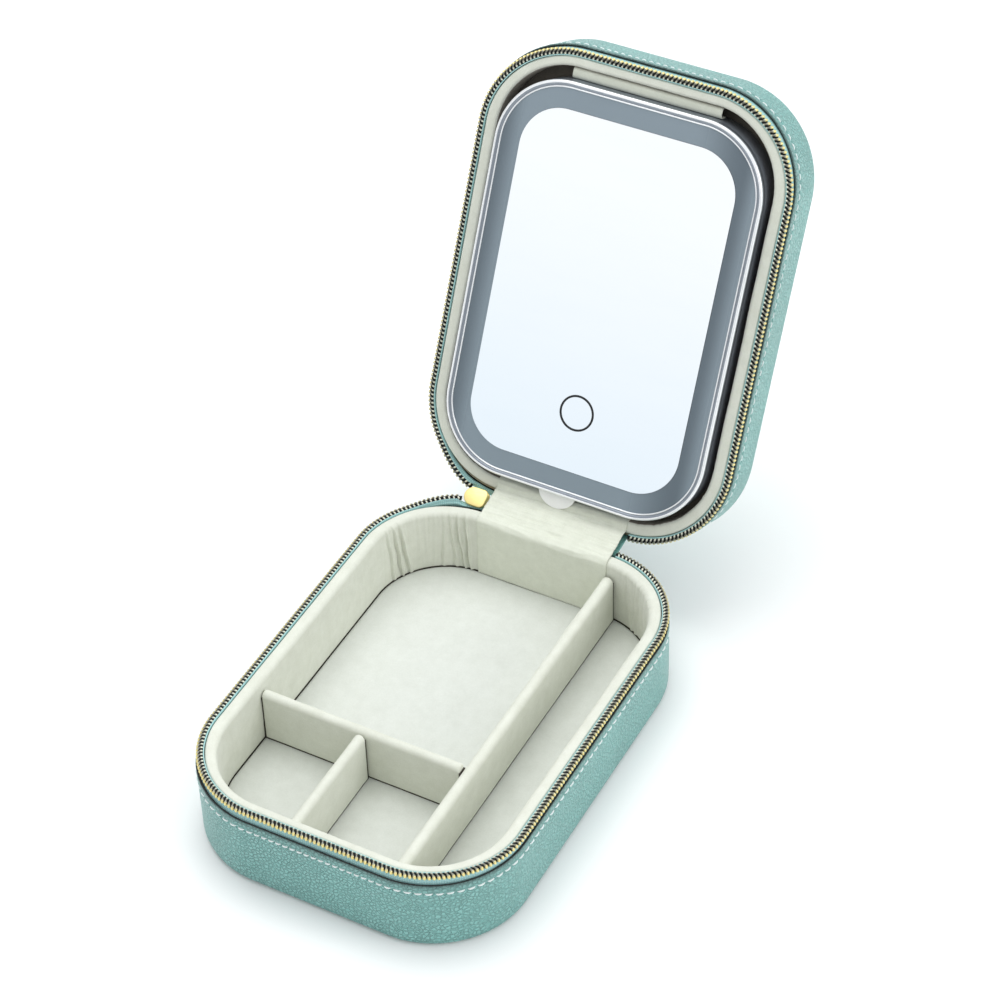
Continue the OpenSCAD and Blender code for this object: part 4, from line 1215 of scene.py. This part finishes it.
@dataclass
class TrayFittings:
    """The padded floor and the three dividers of the base."""

    floor_z: float = 6.6
    floor_back: float = 4.16
    foot: float = 6.66
    long_x: float = 28.0
    long_t: float = 4.5
    long_drop: float = 6.0
    cross_y: float = -29.0
    cross_t: float = 4.0
    cross_drop: float = 5.0
    short_x: float = -13.0
    short_t: float = 4.0
    short_drop: float = 5.5
    clear: float = 0.1          # between a divider's end and what it meets
    flap_stop: float = 77.32    # where the hinge flap stops the long divider
    core_in: float = 0.3
    core_shown: float = 0.8
    end_shown: float = 0.48

    def reach(self, across: float, corner_mid: float, side_mid: float) -> float:
        """Half the tray's inside, at a distance from its middle.

        Args:
            across: The distance from the middle, at right angles to the wanted direction.
            corner_mid: How far from the middle the corner's centre lies, in the direction of across.
            side_mid: How far from the middle it lies in the wanted direction.

        Returns:
            The half length in millimetres.
        """
        r = CASE.corner - CASE.lining_in
        return side_mid + math.sqrt(r * r - max(0.0, abs(across) - corner_mid) ** 2)

    def floor(self) -> None:
        """Builds the padded floor board, which dips a little along its edge."""
        top, back = self.floor_z - CASE.base_h, self.floor_back - CASE.base_h
        profile = np.array([(3.56, back), (3.56, top - 0.1), (4.2, top - 0.04), (6.8, top - 0.04), (7.1, top - 0.1),
                            (7.3, top - 0.8), (7.57, top - 0.8), (7.68, top - 0.35), (7.9, top - 0.16),
                            (8.6, top - 0.08), (10, top - 0.03), (12, top), (18, top + 0.03), (26, top + 0.03),
                            (CASE.corner, top)])
        made = plate_mesh(Side.BASE, "padded_floor", profile, back, 0.14, seed=2.2)
        finish_piece(made, "base", Stock.SUEDE_BOARD, "cream_suede_board", "base_floor_pad")
        # Painted shade: the groove along the floor's edge takes the dark core colour.
        gap = np.zeros(len(profile), bool)
        gap[5:8] = True
        paint(made, Stock.CORE, gap, len(CASE.outline.marks(PLATE_STEP)))

    def divider(self, node: str, thick: float, drop: float, start: float, end: float,
                turn: Callable[[np.ndarray, np.ndarray], tuple[np.ndarray, np.ndarray]], seed: float) -> None:
        """Builds one cloth-wrapped divider with a round top and folded ends.

        Args:
            node: The CAD node that it replaces.
            thick: Its thickness.
            drop: How far its top lies below the zip line.
            start: Where it starts along its length.
            end: Where it ends.
            turn: Turns a distance along it and one across it into x and y.
            seed: Where in the noise to look.
        """
        half, top, foot, ends = thick / 2, CASE.base_h - drop, 0.25, 0.8
        core = half - self.core_in
        plate = np.array([(-core, self.foot - 0.25), (-core, top - half - 0.5), (core, top - half - 0.5),
                          (core, self.foot - 0.25)])
        stops = np.linspace(start, end, 5)
        along, across, up = np.broadcast_arrays(stops[:, None], *plate.T[:, None])
        # Painted shade: the dark core shows below the cover at the divider's foot and ends, for the shade in the
        # joint.
        board_core = grid(f"{node}_core", np.stack([*turn(along, across), up], -1) * MM, False, True, caps=True)
        finish_piece(board_core, "base", Stock.CORE, "divider_suede")
        start, end, low = start + self.end_shown, end - self.end_shown, self.foot + self.core_shown
        section = np.concatenate([
            [[-half + foot * 1.4, low]], arc((-half + foot, low + foot), foot, 250, 180, 4),
            line((-half, low + foot), (-half, top - half), 1.2), arc((0, top - half), half, 180, 0, 13),
            line((half, top - half), (half, low + foot), 1.2),
            arc((half - foot, low + foot), foot, 0, -70, 4), [[half - foot * 1.4, low]]])
        inner = np.linspace(start + ends, end - ends, max(8, int((end - start) / 1.1)))
        rounding = ends * (1 - np.cos(np.linspace(0, math.pi / 2, 5)[:-1]))
        places = np.concatenate([start + rounding, inner, (end - rounding)[::-1]])
        away = np.minimum(places - start, end - places)
        pull = np.where(away < ends, ends - np.sqrt(np.maximum(0, ends ** 2 - (ends - away) ** 2)), 0.0)[:, None]
        across, up = section.T[:, None]
        points = np.stack([np.broadcast_to(places[:, None], (len(places), len(section))),
                           np.sign(across) * np.maximum(0.05, np.abs(across) - pull),
                           np.minimum(up, top - 0.75 * pull)], -1)
        soft = 0.1 * hash_noise(points, (14, 6, 9), seed) + 0.04 * hash_noise(points, (4, 3, 3), seed + 4)
        middle = np.clip(np.minimum(points[..., 0] - start, end - points[..., 0]) / 6, 0, 1)
        crown = np.abs(points[..., 1]) / half
        points[..., 1] += np.sign(points[..., 1]) * np.minimum(crown, 1) * middle * (soft - 0.05)
        points[..., 2] += (points[..., 2] > top - half) * middle * (soft - 0.05)
        points = np.stack([*turn(points[..., 0], points[..., 1]), points[..., 2]], -1)
        made = grid(f"{node}_wrapped", points * MM, False, True, caps=True)
        finish_piece(made, "base", Stock.SUEDE, "divider_suede", node)

    def dividers(self) -> None:
        """Builds the three dividers."""
        flat_x, flat_y = CASE.width / 2 - CASE.corner, CASE.length / 2 - CASE.corner
        far = self.reach(self.long_x + self.long_t / 2, flat_x, flat_y) - self.clear
        self.divider("long_divider", self.long_t, self.long_drop, -far, min(far, self.flap_stop),
                     lambda u, v: (self.long_x + v, u), 1.0)
        left = -self.reach(self.cross_y - self.cross_t / 2, flat_y, flat_x) + self.clear
        self.divider("cross_divider", self.cross_t, self.cross_drop, left,
                     self.long_x - self.long_t / 2 - self.clear, lambda u, v: (u, self.cross_y + v), 5.0)
        near = -self.reach(self.short_x - self.short_t / 2, flat_x, flat_y) + self.clear
        self.divider("short_divider", self.short_t, self.short_drop, near,
                     self.cross_y - self.cross_t / 2 - self.clear, lambda u, v: (self.short_x + v, u), 9.0)


# ---------------------------------------------------------------- the hinge

@dataclass
class Hinge:
    """The cloth flap inside the hinge and the leather strip outside it."""

    flap_w: float = 53.2
    flap_t: float = 0.5
    spine_w: float = 54.0
    spine_t: float = 0.5
    flap_in: float = 7.81
    over: float = 0.59
    bend: float = 2.31
    lip: float = 3.8
    tuck: float = 9.1

    def lid_point(self, inset: float, depth: float) -> Pair:
        """Returns y and z, in millimetres, of a place in the lid beside the hinge."""
        y, z = CASE.place(Side.LID, np.array([0.0, CASE.length / 2 - inset, -depth]))[1:] / MM
        return float(y), float(z)

    def base_point(self, inset: float, depth: float) -> Pair:
        """Returns y and z, in millimetres, of a place in the base beside the hinge."""
        return CASE.length / 2 - inset, CASE.base_h - depth

    def rim(self, place: Callable[[float, float], Pair], foot: float) -> list[Pair]:
        """Returns the flap's path from the foot of one wall over that wall's rim to its outer lip."""
        seam = self.over + self.bend
        path = [(self.flap_in, foot), (self.flap_in, (foot + seam) / 2), (self.flap_in, seam)]
        path += [(self.flap_in - self.bend * (1 - math.cos(a)), self.over + self.bend * (1 - math.sin(a)))
                 for a in np.radians(np.linspace(15, 90, 6))]
        return [place(*p) for p in path + [(self.lip, self.over)]]

    def strip(self, name: str, path: np.ndarray, width: float, thick: float, step: float,
              lift: Callable[[np.ndarray], np.ndarray]) -> Thing:
        """Makes a strip of cloth or leather along a path in the plane across the hinge.

        Args:
            name: The piece's name.
            path: The path's y and z in millimetres.
            width: The strip's width along the hinge.
            thick: Its thickness.
            step: The distance between points.
            lift: Gives how far each point stands off the path, from its x and its distance along.

        Returns:
            The object.
        """
        length = np.concatenate([[0], np.cumsum(np.linalg.norm(np.diff(path, axis=0), axis=1))])
        along = np.linspace(0, length[-1], int(length[-1] / step) + 1)
        track = np.stack([np.interp(along, length, path[:, 0]), np.interp(along, length, path[:, 1])], 1)
        for _ in range(3):
            track[1:-1] = (track[:-2] + 2 * track[1:-1] + track[2:]) / 4
        tangent = np.gradient(track, axis=0)
        tangent /= np.linalg.norm(tangent, axis=1, keepdims=True)
        normal = np.stack([-tangent[:, 1], tangent[:, 0]], 1)
        x, s = np.broadcast_arrays(np.linspace(-width / 2, width / 2, int(width / 0.55) + 1), along[:, None])
        off = lift(np.stack([x, s, 0 * s], -1))
        outer, inner = (np.concatenate([x[..., None], track[:, None] + normal[:, None] * (off + face)[..., None]], -1)
                        for face in (thick / 2, -thick / 2))
        return grid(name, np.concatenate([outer, inner[:, ::-1]], 1) * MM, False, True, caps=True)

    def flap(self) -> None:
        """Builds the inner flap as one sheet, from the base's floor over both rims to beside the mirror."""
        base_side = self.rim(self.base_point, CASE.base_pad - 0.1)
        lid_side = self.rim(self.lid_point, self.tuck)
        path = np.array(base_side + lid_side[::-1])
        parts = np.linalg.norm(np.diff(path, axis=0), axis=1)
        whole = parts.sum()
        lip_at = parts[:len(base_side) - 1].sum()
        far_at = whole - parts[-(len(lid_side) - 1):].sum()

        def lift(spot: np.ndarray) -> np.ndarray:
            """Returns how far the cloth stands off its path: creased between the rims, and calm on the walls."""
            s = spot[..., 1]
            free = np.exp(-(np.clip(np.maximum(lip_at - s, s - far_at), 0, None) / 3.5) ** 2)
            fine = 1 - 2 * np.abs(hash_noise(spot, (9, 1.5, 1), 4.1))
            broad = hash_noise(spot, (26, 5, 1), 2.5)
            wall = hash_noise(spot, (5, 16, 1), 7.7)
            lines = hash_noise(spot, (14, 0.9, 1), 3.3)
            return (free * (0.3 * fine + 0.24 * broad + 0.5 * lines + 0.05)
                    + (1 - free) * (0.04 * fine + 0.08 * wall + 0.04 * lines))

        made = self.strip("hinge_flap_cloth", path, self.flap_w, self.flap_t, 0.4, lift)
        finish_piece(made, "", Stock.FLAP, "cream_cloth", "hinge_flap_base", "hinge_flap_bridge", "hinge_flap_lid")
        start, end = self.base_point(self.lip, self.over), self.lid_point(self.lip, self.over)
        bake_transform(made)

    def spine(self) -> None:
        """Builds the leather strip that joins the two halves outside the hinge."""
        inset, out, down = 1.21, 3.1, 11.0
        path = np.array([self.base_point(inset, down), self.base_point(inset, out), self.lid_point(inset, out),
                         self.lid_point(inset, down)])
        made = self.strip("spine_leather", path, self.spine_w, self.spine_t, 0.6,
                          lambda spot: 0.04 * hash_noise(spot, (18, 5, 1), 9.4))
        finish_piece(made, "", Stock.SPINE, "teal_leather", "spine_strip")
        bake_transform(made)


# ---------------------------------------------------------------- the zip's slider

@dataclass
class Slider:
    """The parked slider, the loop under it and the pull."""

    x: float = -32.5
    y: float = 88.4
    z: float = 32.7
    length: float = 9.0
    width: float = 7.2
    thick: float = 3.4
    plate: float = 0.8
    lip: float = 0.45
    lean: float = 30.0
    bail_z: float = 29.34
    bail_r: float = 1.6
    pin_r: float = 0.7
    pull_l: float = 15.0
    pull_w: float = 4.6
    pull_t: float = 1.0

    def outline(self) -> np.ndarray:
        """Returns a plate's outline: a square heel with soft corners and a round nose."""
        half, heel, soft = self.width / 2, self.length / 2, 2.0
        return np.concatenate([arc((half - heel, 0), half, 270, 90, 19),
                               arc((heel - soft, half - soft), soft, 90, 0, 6),
                               arc((heel - soft, -half + soft), soft, 0, -90, 6)])

    def move(self, made: Thing, at: Sequence[float], turned: Matrix = Matrix.Identity(4)) -> None:
        """Sets a piece in place by turning and moving its points."""
        made.data.transform(Matrix.Translation(Vector(at) * MM) @ turned)

    def join(self, parts: list[Thing], name: str, at: Sequence[float], turned: Matrix = Matrix.Identity(4)) -> Thing:
        """Makes one object of several, and sets it in place.

        Args:
            parts: The objects, which are used up.
            name: The name of the new one.
            at: Where it goes, in millimetres.
            turned: How it is turned first.

        Returns:
            The new object.
        """
        work = bmesh.new()
        for part in parts:
            self.move(part, at, turned)
            work.from_mesh(part.data)
            bpy.data.objects.remove(part)
        return built(name, work)

    def build(self) -> None:
        """Builds the slider, its loop and its pull."""
        half, inner = self.thick / 2, self.outline() * np.array([0.93, 0.9])
        parts = [board("slider_top", self.outline(), half - self.plate - 0.2, half, 0.42),
                 board("slider_under", self.outline(), -half, -half + self.plate, 0.3),
                 board("slider_core", inner, -half + 0.3, half - 0.4, 0.1)]
        end = (self.length - self.width) / 2
        for y in (-1, 1):
            low, high = (y * (self.width - self.plate) / 2 + edge for edge in (-0.4, 0.4))
            bar = np.array([(-end, low), (end, low), (end, high), (-end, high)])
            parts.append(board("slider_lip", bar, half - self.plate - self.lip, half - self.plate + 0.3, 0.12))
            parts.append(board("slider_lip", bar, -half + self.plate - 0.3, -half + self.plate + self.lip, 0.12))
        made = self.join(parts, "zip_slider_cast", (self.x, self.y, self.z),
                         Matrix.Rotation(math.radians(self.lean), 4, "X"))
        finish_piece(made, "base", Stock.GOLD, "gold_metal", "zip_slider")
        self.loop()
        self.pull()

    def holed(self, name: str, outer: np.ndarray, hole_r: float, at: Pair, thick: float, bevel: float) -> Thing:
        """Makes a plate with one round hole, standing across y.

        Args:
            name: The piece's name.
            outer: The outline, with as many points as the hole gets.
            hole_r: The hole's radius.
            at: The hole's middle.
            thick: The plate's thickness.
            bevel: The size of its soft edges.

        Returns:
            The object, standing in the plane across y, with its points in metres.
        """
        angle = np.arctan2(outer[:, 1] - at[1], outer[:, 0] - at[0])
        hole = np.stack([at[0] + hole_r * np.cos(angle), at[1] + hole_r * np.sin(angle)], 1)
        t, lip, middle = thick / 2, bevel * 0.6, outer.mean(0)
        inner = outer + (middle - outer) / np.linalg.norm(middle - outer, axis=1, keepdims=True) * bevel
        wide = np.array(at) + (hole - at) * (1 + lip / hole_r)
        rings = [np.insert(ring, 1, y, 1) for ring, y in (
            (wide, t), (inner, t), (outer, t - bevel), (outer, bevel - t), (inner, -t), (wide, -t),
            (hole, lip - t), (hole, t - lip))]
        return grid(name, np.array(rings) * MM, True, True)

    def loop(self) -> None:
        """Builds the loop under the slider."""
        r = self.bail_r
        shape = np.concatenate([arc((0, 0), r, 180, 360, 17), line((r, 0), (r, r), 0.5), [[r, r]],
                                line((r, r), (-r, r), 0.5), [[-r, r]], line((-r, r), (-r, 0), 0.5)])
        loop = self.holed("zip_loop_cast", shape, self.pin_r + 0.05, (0, 0), 1.1, 0.18)
        self.move(loop, (self.x, self.y, self.bail_z))
        finish_piece(loop, "base", Stock.GOLD, "gold_metal", "zip_bail")

    def pull(self) -> None:
        """Builds the pull: a blade with a hole, and two cheeks on a pin that runs through the loop."""
        inner, cheek, neck, soft = 0.7, 0.8, 2.0, 0.8
        half, low = self.pull_w / 2, -self.pull_l
        top = -neck - soft
        blade = np.concatenate([
            arc((0, low + half), half, 180, 360, 17), line((half, low + half), (half, -neck - 0.5), 0.8),
            arc((half - soft, top), soft, 0, 90, 5), arc((-half + soft, top), soft, 90, 180, 5),
            line((-half, -neck - 0.5), (-half, low + half), 0.8)])
        flat = self.holed("pull_blade", blade, 1.1, (0, low + half + 0.3), self.pull_t, 0.22)
        flat.data.transform(Matrix.Rotation(math.pi / 2, 4, "Z"))
        upright = Matrix.Rotation(math.pi / 2, 4, "X")
        pin = board("pull_pin", arc((0, 0), self.pin_r, 0, 360, 21)[:-1], -inner - cheek, inner + cheek, 0.08)
        self.move(pin, (0, 0, 0), upright)
        parts = [flat, pin]
        ear = np.concatenate([arc((0, 0), 1.15, 0, 180, 11), [[-0.5, -1.2], [-0.5, -neck - 0.2],
                                                              [0.5, -neck - 0.2], [0.5, -1.2]]])
        for y in (-1, 1):
            parts.append(board("pull_cheek", ear, -cheek / 2, cheek / 2, 0.1))
            self.move(parts[-1], (0, y * (inner + cheek / 2), 0), upright)
        made = self.join(parts, "zip_pull_cast", (self.x, self.y, self.bail_z))
        finish_piece(made, "pull", Stock.GOLD, "gold_metal", "zip_pull")


# ---------------------------------------------------------------- the mirror

@dataclass
class MirrorModule:
    """The framed mirror in the lid. Its own frame has z = 0 on the frame's front edge."""

    width: float = 104.5
    length: float = 149.2
    corner: float = 26.5
    shift: float = 1.1
    proud: float = 3.2
    tab_d: float = 13.5
    tab_reach: float = 6.0
    tab_x: float = -2.3
    tab_stretch: float = 1.13
    strap_w: float = 58.0
    strap_t: float = 0.5
    strap_gap: float = 0.13
    step: float = 1.2

    def set_in_lid(self, made: Thing, stretch: float = 1.0, shift: Sequence[float] = (0, 0, 0)) -> None:
        """Sets a piece in the lid: its points are stretched along x and shifted, in millimetres, then placed."""
        points = np.array([v.co for v in made.data.vertices]) / MM * [stretch, 1, 1] + shift
        made.data.vertices.foreach_set("co", CASE.place(Side.LID, points).reshape(-1))
        made.data.update()

    def ring(self, name: str, profile: np.ndarray) -> Thing:
        """Runs a closed profile round the mirror's outline."""
        outline = Outline(self.width, self.length, self.corner)
        points = outline.run(outline.marks(self.step), *profile.T) + (0, self.shift, self.proud)
        return grid(name, CASE.place(Side.LID, points), True, True)

    def inner_lip(self) -> None:
        """Builds the thin lip inside the frame's bead, which holds the light panel down, in the painted-highlight
        silver.
        """
        profile = np.concatenate([arc((2.3, -0.42), 0.28, 0, 180, 7), [[2.0, -0.52], [2.6, -0.52]]])
        made = self.ring("mirror_inner_lip", profile)
        finish_piece(made, "lid", Stock.SILVER, "silver_frame")

    def bead(self) -> None:
        """Builds the bead round the front of the frame, its crest painted as a highlight and the slope inside it
        painted darker as a reflection.
        """
        profile = np.array([(-0.05, -2.6), (-0.06, -1.0), (-0.02, -0.6), (0.1, -0.26), (0.3, 0.0), (0.55, 0.11),
                            (0.8, 0.1), (0.98, 0.0), (1.1, -0.14), (1.3, -0.24), (1.5, -0.3), (1.7, -0.34),
                            (1.85, -0.36), (1.97, -0.42), (2.05, -0.6), (1.9, -1.0), (1.0, -1.6), (0.3, -2.4)])
        made = self.ring("mirror_bead", profile)
        finish_piece(made, "lid", Stock.SATIN, "silver_frame")
        # Painted highlight on the crest; the rest keeps the painted darker reflection.
        crest = np.zeros(len(profile), bool)
        crest[2:7] = True
        paint(made, Stock.SILVER, crest, len(made.data.vertices) // len(profile))

    def tab(self) -> None:
        """Builds the rounded pull tab, with softened edges."""
        r = self.tab_d / 2
        root = math.sqrt(r * r - (r - self.tab_reach) ** 2)
        angle = math.degrees(math.atan2(-(r - self.tab_reach), root))
        shape = arc((0, -r + self.tab_reach), r, angle, 180 - angle, 33)
        made = board("mirror_pull_tab", shape, 0.0, 0.6, 0.2)
        self.set_in_lid(made, self.tab_stretch, (self.tab_x, self.length / 2 + GLUE + self.shift, 0))
        finish_piece(made, "lid", Stock.TAB, "white_tab", "pull_tab")

    def strap(self) -> None:
        """Builds the cloth strap over the gap at the far end of the mirror."""
        half = self.strap_t / 2
        wall = -(CASE.length / 2 - CASE.lining_in - self.strap_gap - GLUE - half)
        frame_side = -(self.length / 2 - self.shift + GLUE + half)
        top, low, bend, soft = 2.2, 6.5, 0.9, 0.3
        path = np.array([(frame_side, -low), (frame_side, -top - bend), (frame_side - half, -top - soft),
                         (frame_side - bend, -top), (wall + bend, -top), (wall + half, -top - soft),
                         (wall, -top - bend), (wall, -low)])
        strap = Hinge().strip("mirror_end_strap", path, self.strap_w, self.strap_t, 0.4,
                              lambda spot: 0.05 * hash_noise(spot, (11, 3, 1), 5.8))
        self.set_in_lid(strap)
        finish_piece(strap, "lid", Stock.FLAP, "cream_cloth", "mirror_strap")


@dataclass
class CarriedNodes:
    """The CAD nodes that keep their shape and get a material."""

    stocks: dict[str, Stock] = field(default_factory=lambda: {
        "base_board_tray": Stock.GREYBOARD, "lid_board_tray": Stock.GREYBOARD, "lid_recess_pad": Stock.CARD,
        "catch_plates": Stock.STEEL, "mirror_frame": Stock.SATIN, "light_panel": Stock.FROST,
        "mirror_glass": Stock.MIRROR, "touch_ring": Stock.INK, "glass_carrier": Stock.WHITE_ABS,
        "light_board": Stock.WHITE_BOARD, "lamps": Stock.RESIN, "mirror_rear_cover": Stock.GREY_ABS,
        "cover_screws": Stock.STEEL, "touch_sensor": Stock.COPPER, "control_board": Stock.GREEN_BOARD,
        "charging_socket": Stock.STEEL, "battery": Stock.FOIL, "battery_pad": Stock.FOAM,
        "battery_leads": Stock.RED_LEAD, "light_leads": Stock.WHITE_LEAD, "magnets": Stock.NICKEL})

    def dress_all(self) -> None:
        """Gives each of them its material."""
        for name, stock in self.stocks.items():
            dress(frame["nodes"][name], stock)
            log.info("%s: CAD node in %s", name, stock.value.name)


# ---------------------------------------------------------------- the studio

@dataclass
class Studio:
    """The floor, the lights and the camera."""

    eye: tuple[float, float, float] = (0.3809, -0.6258, 0.7855)
    aim: tuple[float, float, float] = (-0.0313, 0.1041, 0.0193)
    lens: float = 108.4
    roll: float = 0.03453
    card: tuple[float, float, float] = (-0.36, -0.92, 0.155)    # which way the white card lies

    def camera(self) -> None:
        """Sets the camera where the photograph was taken from."""
        data = bpy.data.cameras.new("camera")
        data.lens, data.sensor_width, data.sensor_height = self.lens, 36.0, 36.0
        data.clip_start, data.clip_end = 0.01, 20.0
        made = linked("camera", data)
        forward = (Vector(self.aim) - Vector(self.eye)).normalized()
        right = forward.cross(Vector((0, 0, 1))).normalized()
        up = right.cross(forward)
        level = math.sqrt(1 - self.roll ** 2)
        across = right * level - up * self.roll
        upright = right * self.roll + up * level
        turn = Matrix((across, upright, -forward)).transposed().to_4x4()
        made.matrix_world = Matrix.Translation(self.eye) @ turn
        bpy.context.scene.camera = made

    def floor(self) -> None:
        """Lays a wide, pale and matt floor."""
        size, below = 6.0, -0.0004
        data = bpy.data.meshes.new("floor")
        data.from_pydata([(-size, -size, 0), (size, -size, 0), (size, size, 0), (-size, size, 0)], [], [(0, 1, 2, 3)])
        made = linked("floor", data)
        made.location.z = below
        material = bpy.data.materials.new("studio_paper")
        material.use_nodes = True
        shader = material.node_tree.nodes["Principled BSDF"]
        shader.inputs["Base Color"].default_value = linear("#fbfbfa")
        shader.inputs["Roughness"].default_value = 1.0
        shader.inputs["IOR"].default_value = 1.0
        made.data.materials.append(material)

    def light(self, name: str, place: Sequence[float], aim: Sequence[float], size: float, power: float) -> None:
        """Hangs one square soft box.

        Args:
            name: The light's name.
            place: Where it hangs, in metres.
            aim: What it points at.
            size: The length of its sides.
            power: Its power in watts.
        """
        data = bpy.data.lights.new(name, "AREA")
        data.energy, data.size = power, size
        made = linked(name, data)
        made.visible_camera = False
        made.location = place
        made.rotation_euler = (Vector(aim) - Vector(place)).to_track_quat("-Z", "Y").to_euler()

    def air(self) -> None:
        """Lights the room: brighter above and behind, with a white card where the mirror looks."""
        world = bpy.data.worlds.new("studio_air")
        bpy.context.scene.world = world
        world.use_nodes = True
        tree = world.node_tree
        tree.nodes.clear()
        way = surface(tree, "Generated")
        parts = add(tree, "ShaderNodeSeparateXYZ", {"Vector": way}).outputs
        high = remap(tree, parts["Z"], (0.62, 1.12), (-0.05, 0.9))
        back = remap(tree, parts["Y"], (0.72, 1.0), (-0.9, 0.3))
        room = add(tree, "ShaderNodeBackground", {"Color": linear("#f6f9fc"),
                   "Strength": maths(tree, "MULTIPLY", high, back)})
        towards = add(tree, "ShaderNodeVectorMath", {0: way, 1: self.card}, operation="DOT_PRODUCT")
        card = remap(tree, towards.outputs["Value"], span=(0.88, 0.96), kind="SMOOTHSTEP")
        tint = add(tree, "ShaderNodeMix", {0: remap(tree, parts["Z"], span=(0.085, 0.19)),
                   6: linear("#ebf3f9"), 7: linear("#ffffff")}, data_type="RGBA")
        lit = add(tree, "ShaderNodeBackground", {"Color": tint.outputs[2], "Strength": 1.08})
        both = add(tree, "ShaderNodeMixShader", {0: card, 1: room.outputs["Background"],
                   2: lit.outputs["Background"]})
        add(tree, "ShaderNodeOutputWorld", {"Surface": both.outputs["Shader"]})

    def build(self) -> None:
        """Sets up the whole studio."""
        self.camera()
        self.floor()
        self.light("soft_top", (-0.35, 0.3, 1.5), (0, 0, 0), 1.1, 10.5)
        self.light("soft_right", (1.5, 0.15, 0.75), (0, 0, 0.05), 0.9, 7)
        self.air()
        view = bpy.context.scene.view_settings
        view.view_transform, view.look = "Standard", "None"


def build_case() -> None:
    """Builds both halves, the hinge, the slider and the mirror."""
    base = Shell(Side.BASE, CASE.base_h, lead_out=3.4)
    lid = Shell(Side.LID, CASE.lid_h, lead_out=2.4, thread_r=0.2376)
    for shell, node in ((base, "base_bottom_panel"), (lid, "lid_top_panel")):
        shell.leather_wall()
        shell.stitching()
        shell.tape()
        shell.chain()
        shell.outer_panel(node)
    Padding(Side.BASE, CASE.base_pad, wrinkles=(
        (31.5, 0.8, 0.25, 1.0), (34.8, 0.7, 0.35, 0.9), (38.4, 0.9, 0.2, 0.5), (43.0, 1.1, -0.2, 0.35),
        (62.5, 0.9, 0.4, 0.8), (66.5, 0.7, 0.35, 0.9), (70.5, 0.8, 0.3, 0.6),
        (462.0, 1.2, 0.3, 0.4), (470.0, 0.9, -0.3, 0.5), (476.5, 0.8, 0.3, 0.55), (482.0, 1.0, -0.2, 0.6),
        (487.5, 0.8, 0.3, 0.5))).build()
    Padding(Side.LID, CASE.lid_pad, rim_r=1.3).build()
    tray = TrayFittings()
    tray.floor()
    tray.dividers()
    hinge = Hinge()
    hinge.flap()
    hinge.spine()
    Slider().build()
    mirror = MirrorModule()
    mirror.bead()
    mirror.inner_lip()
    mirror.tab()
    mirror.strap()
    CarriedNodes().dress_all()


def main() -> None:
    """Builds the scene."""
    logging.basicConfig(level=logging.INFO, format="%(message)s")
    Studio().build()
    build_case()


if __name__ == "__main__":
    main()
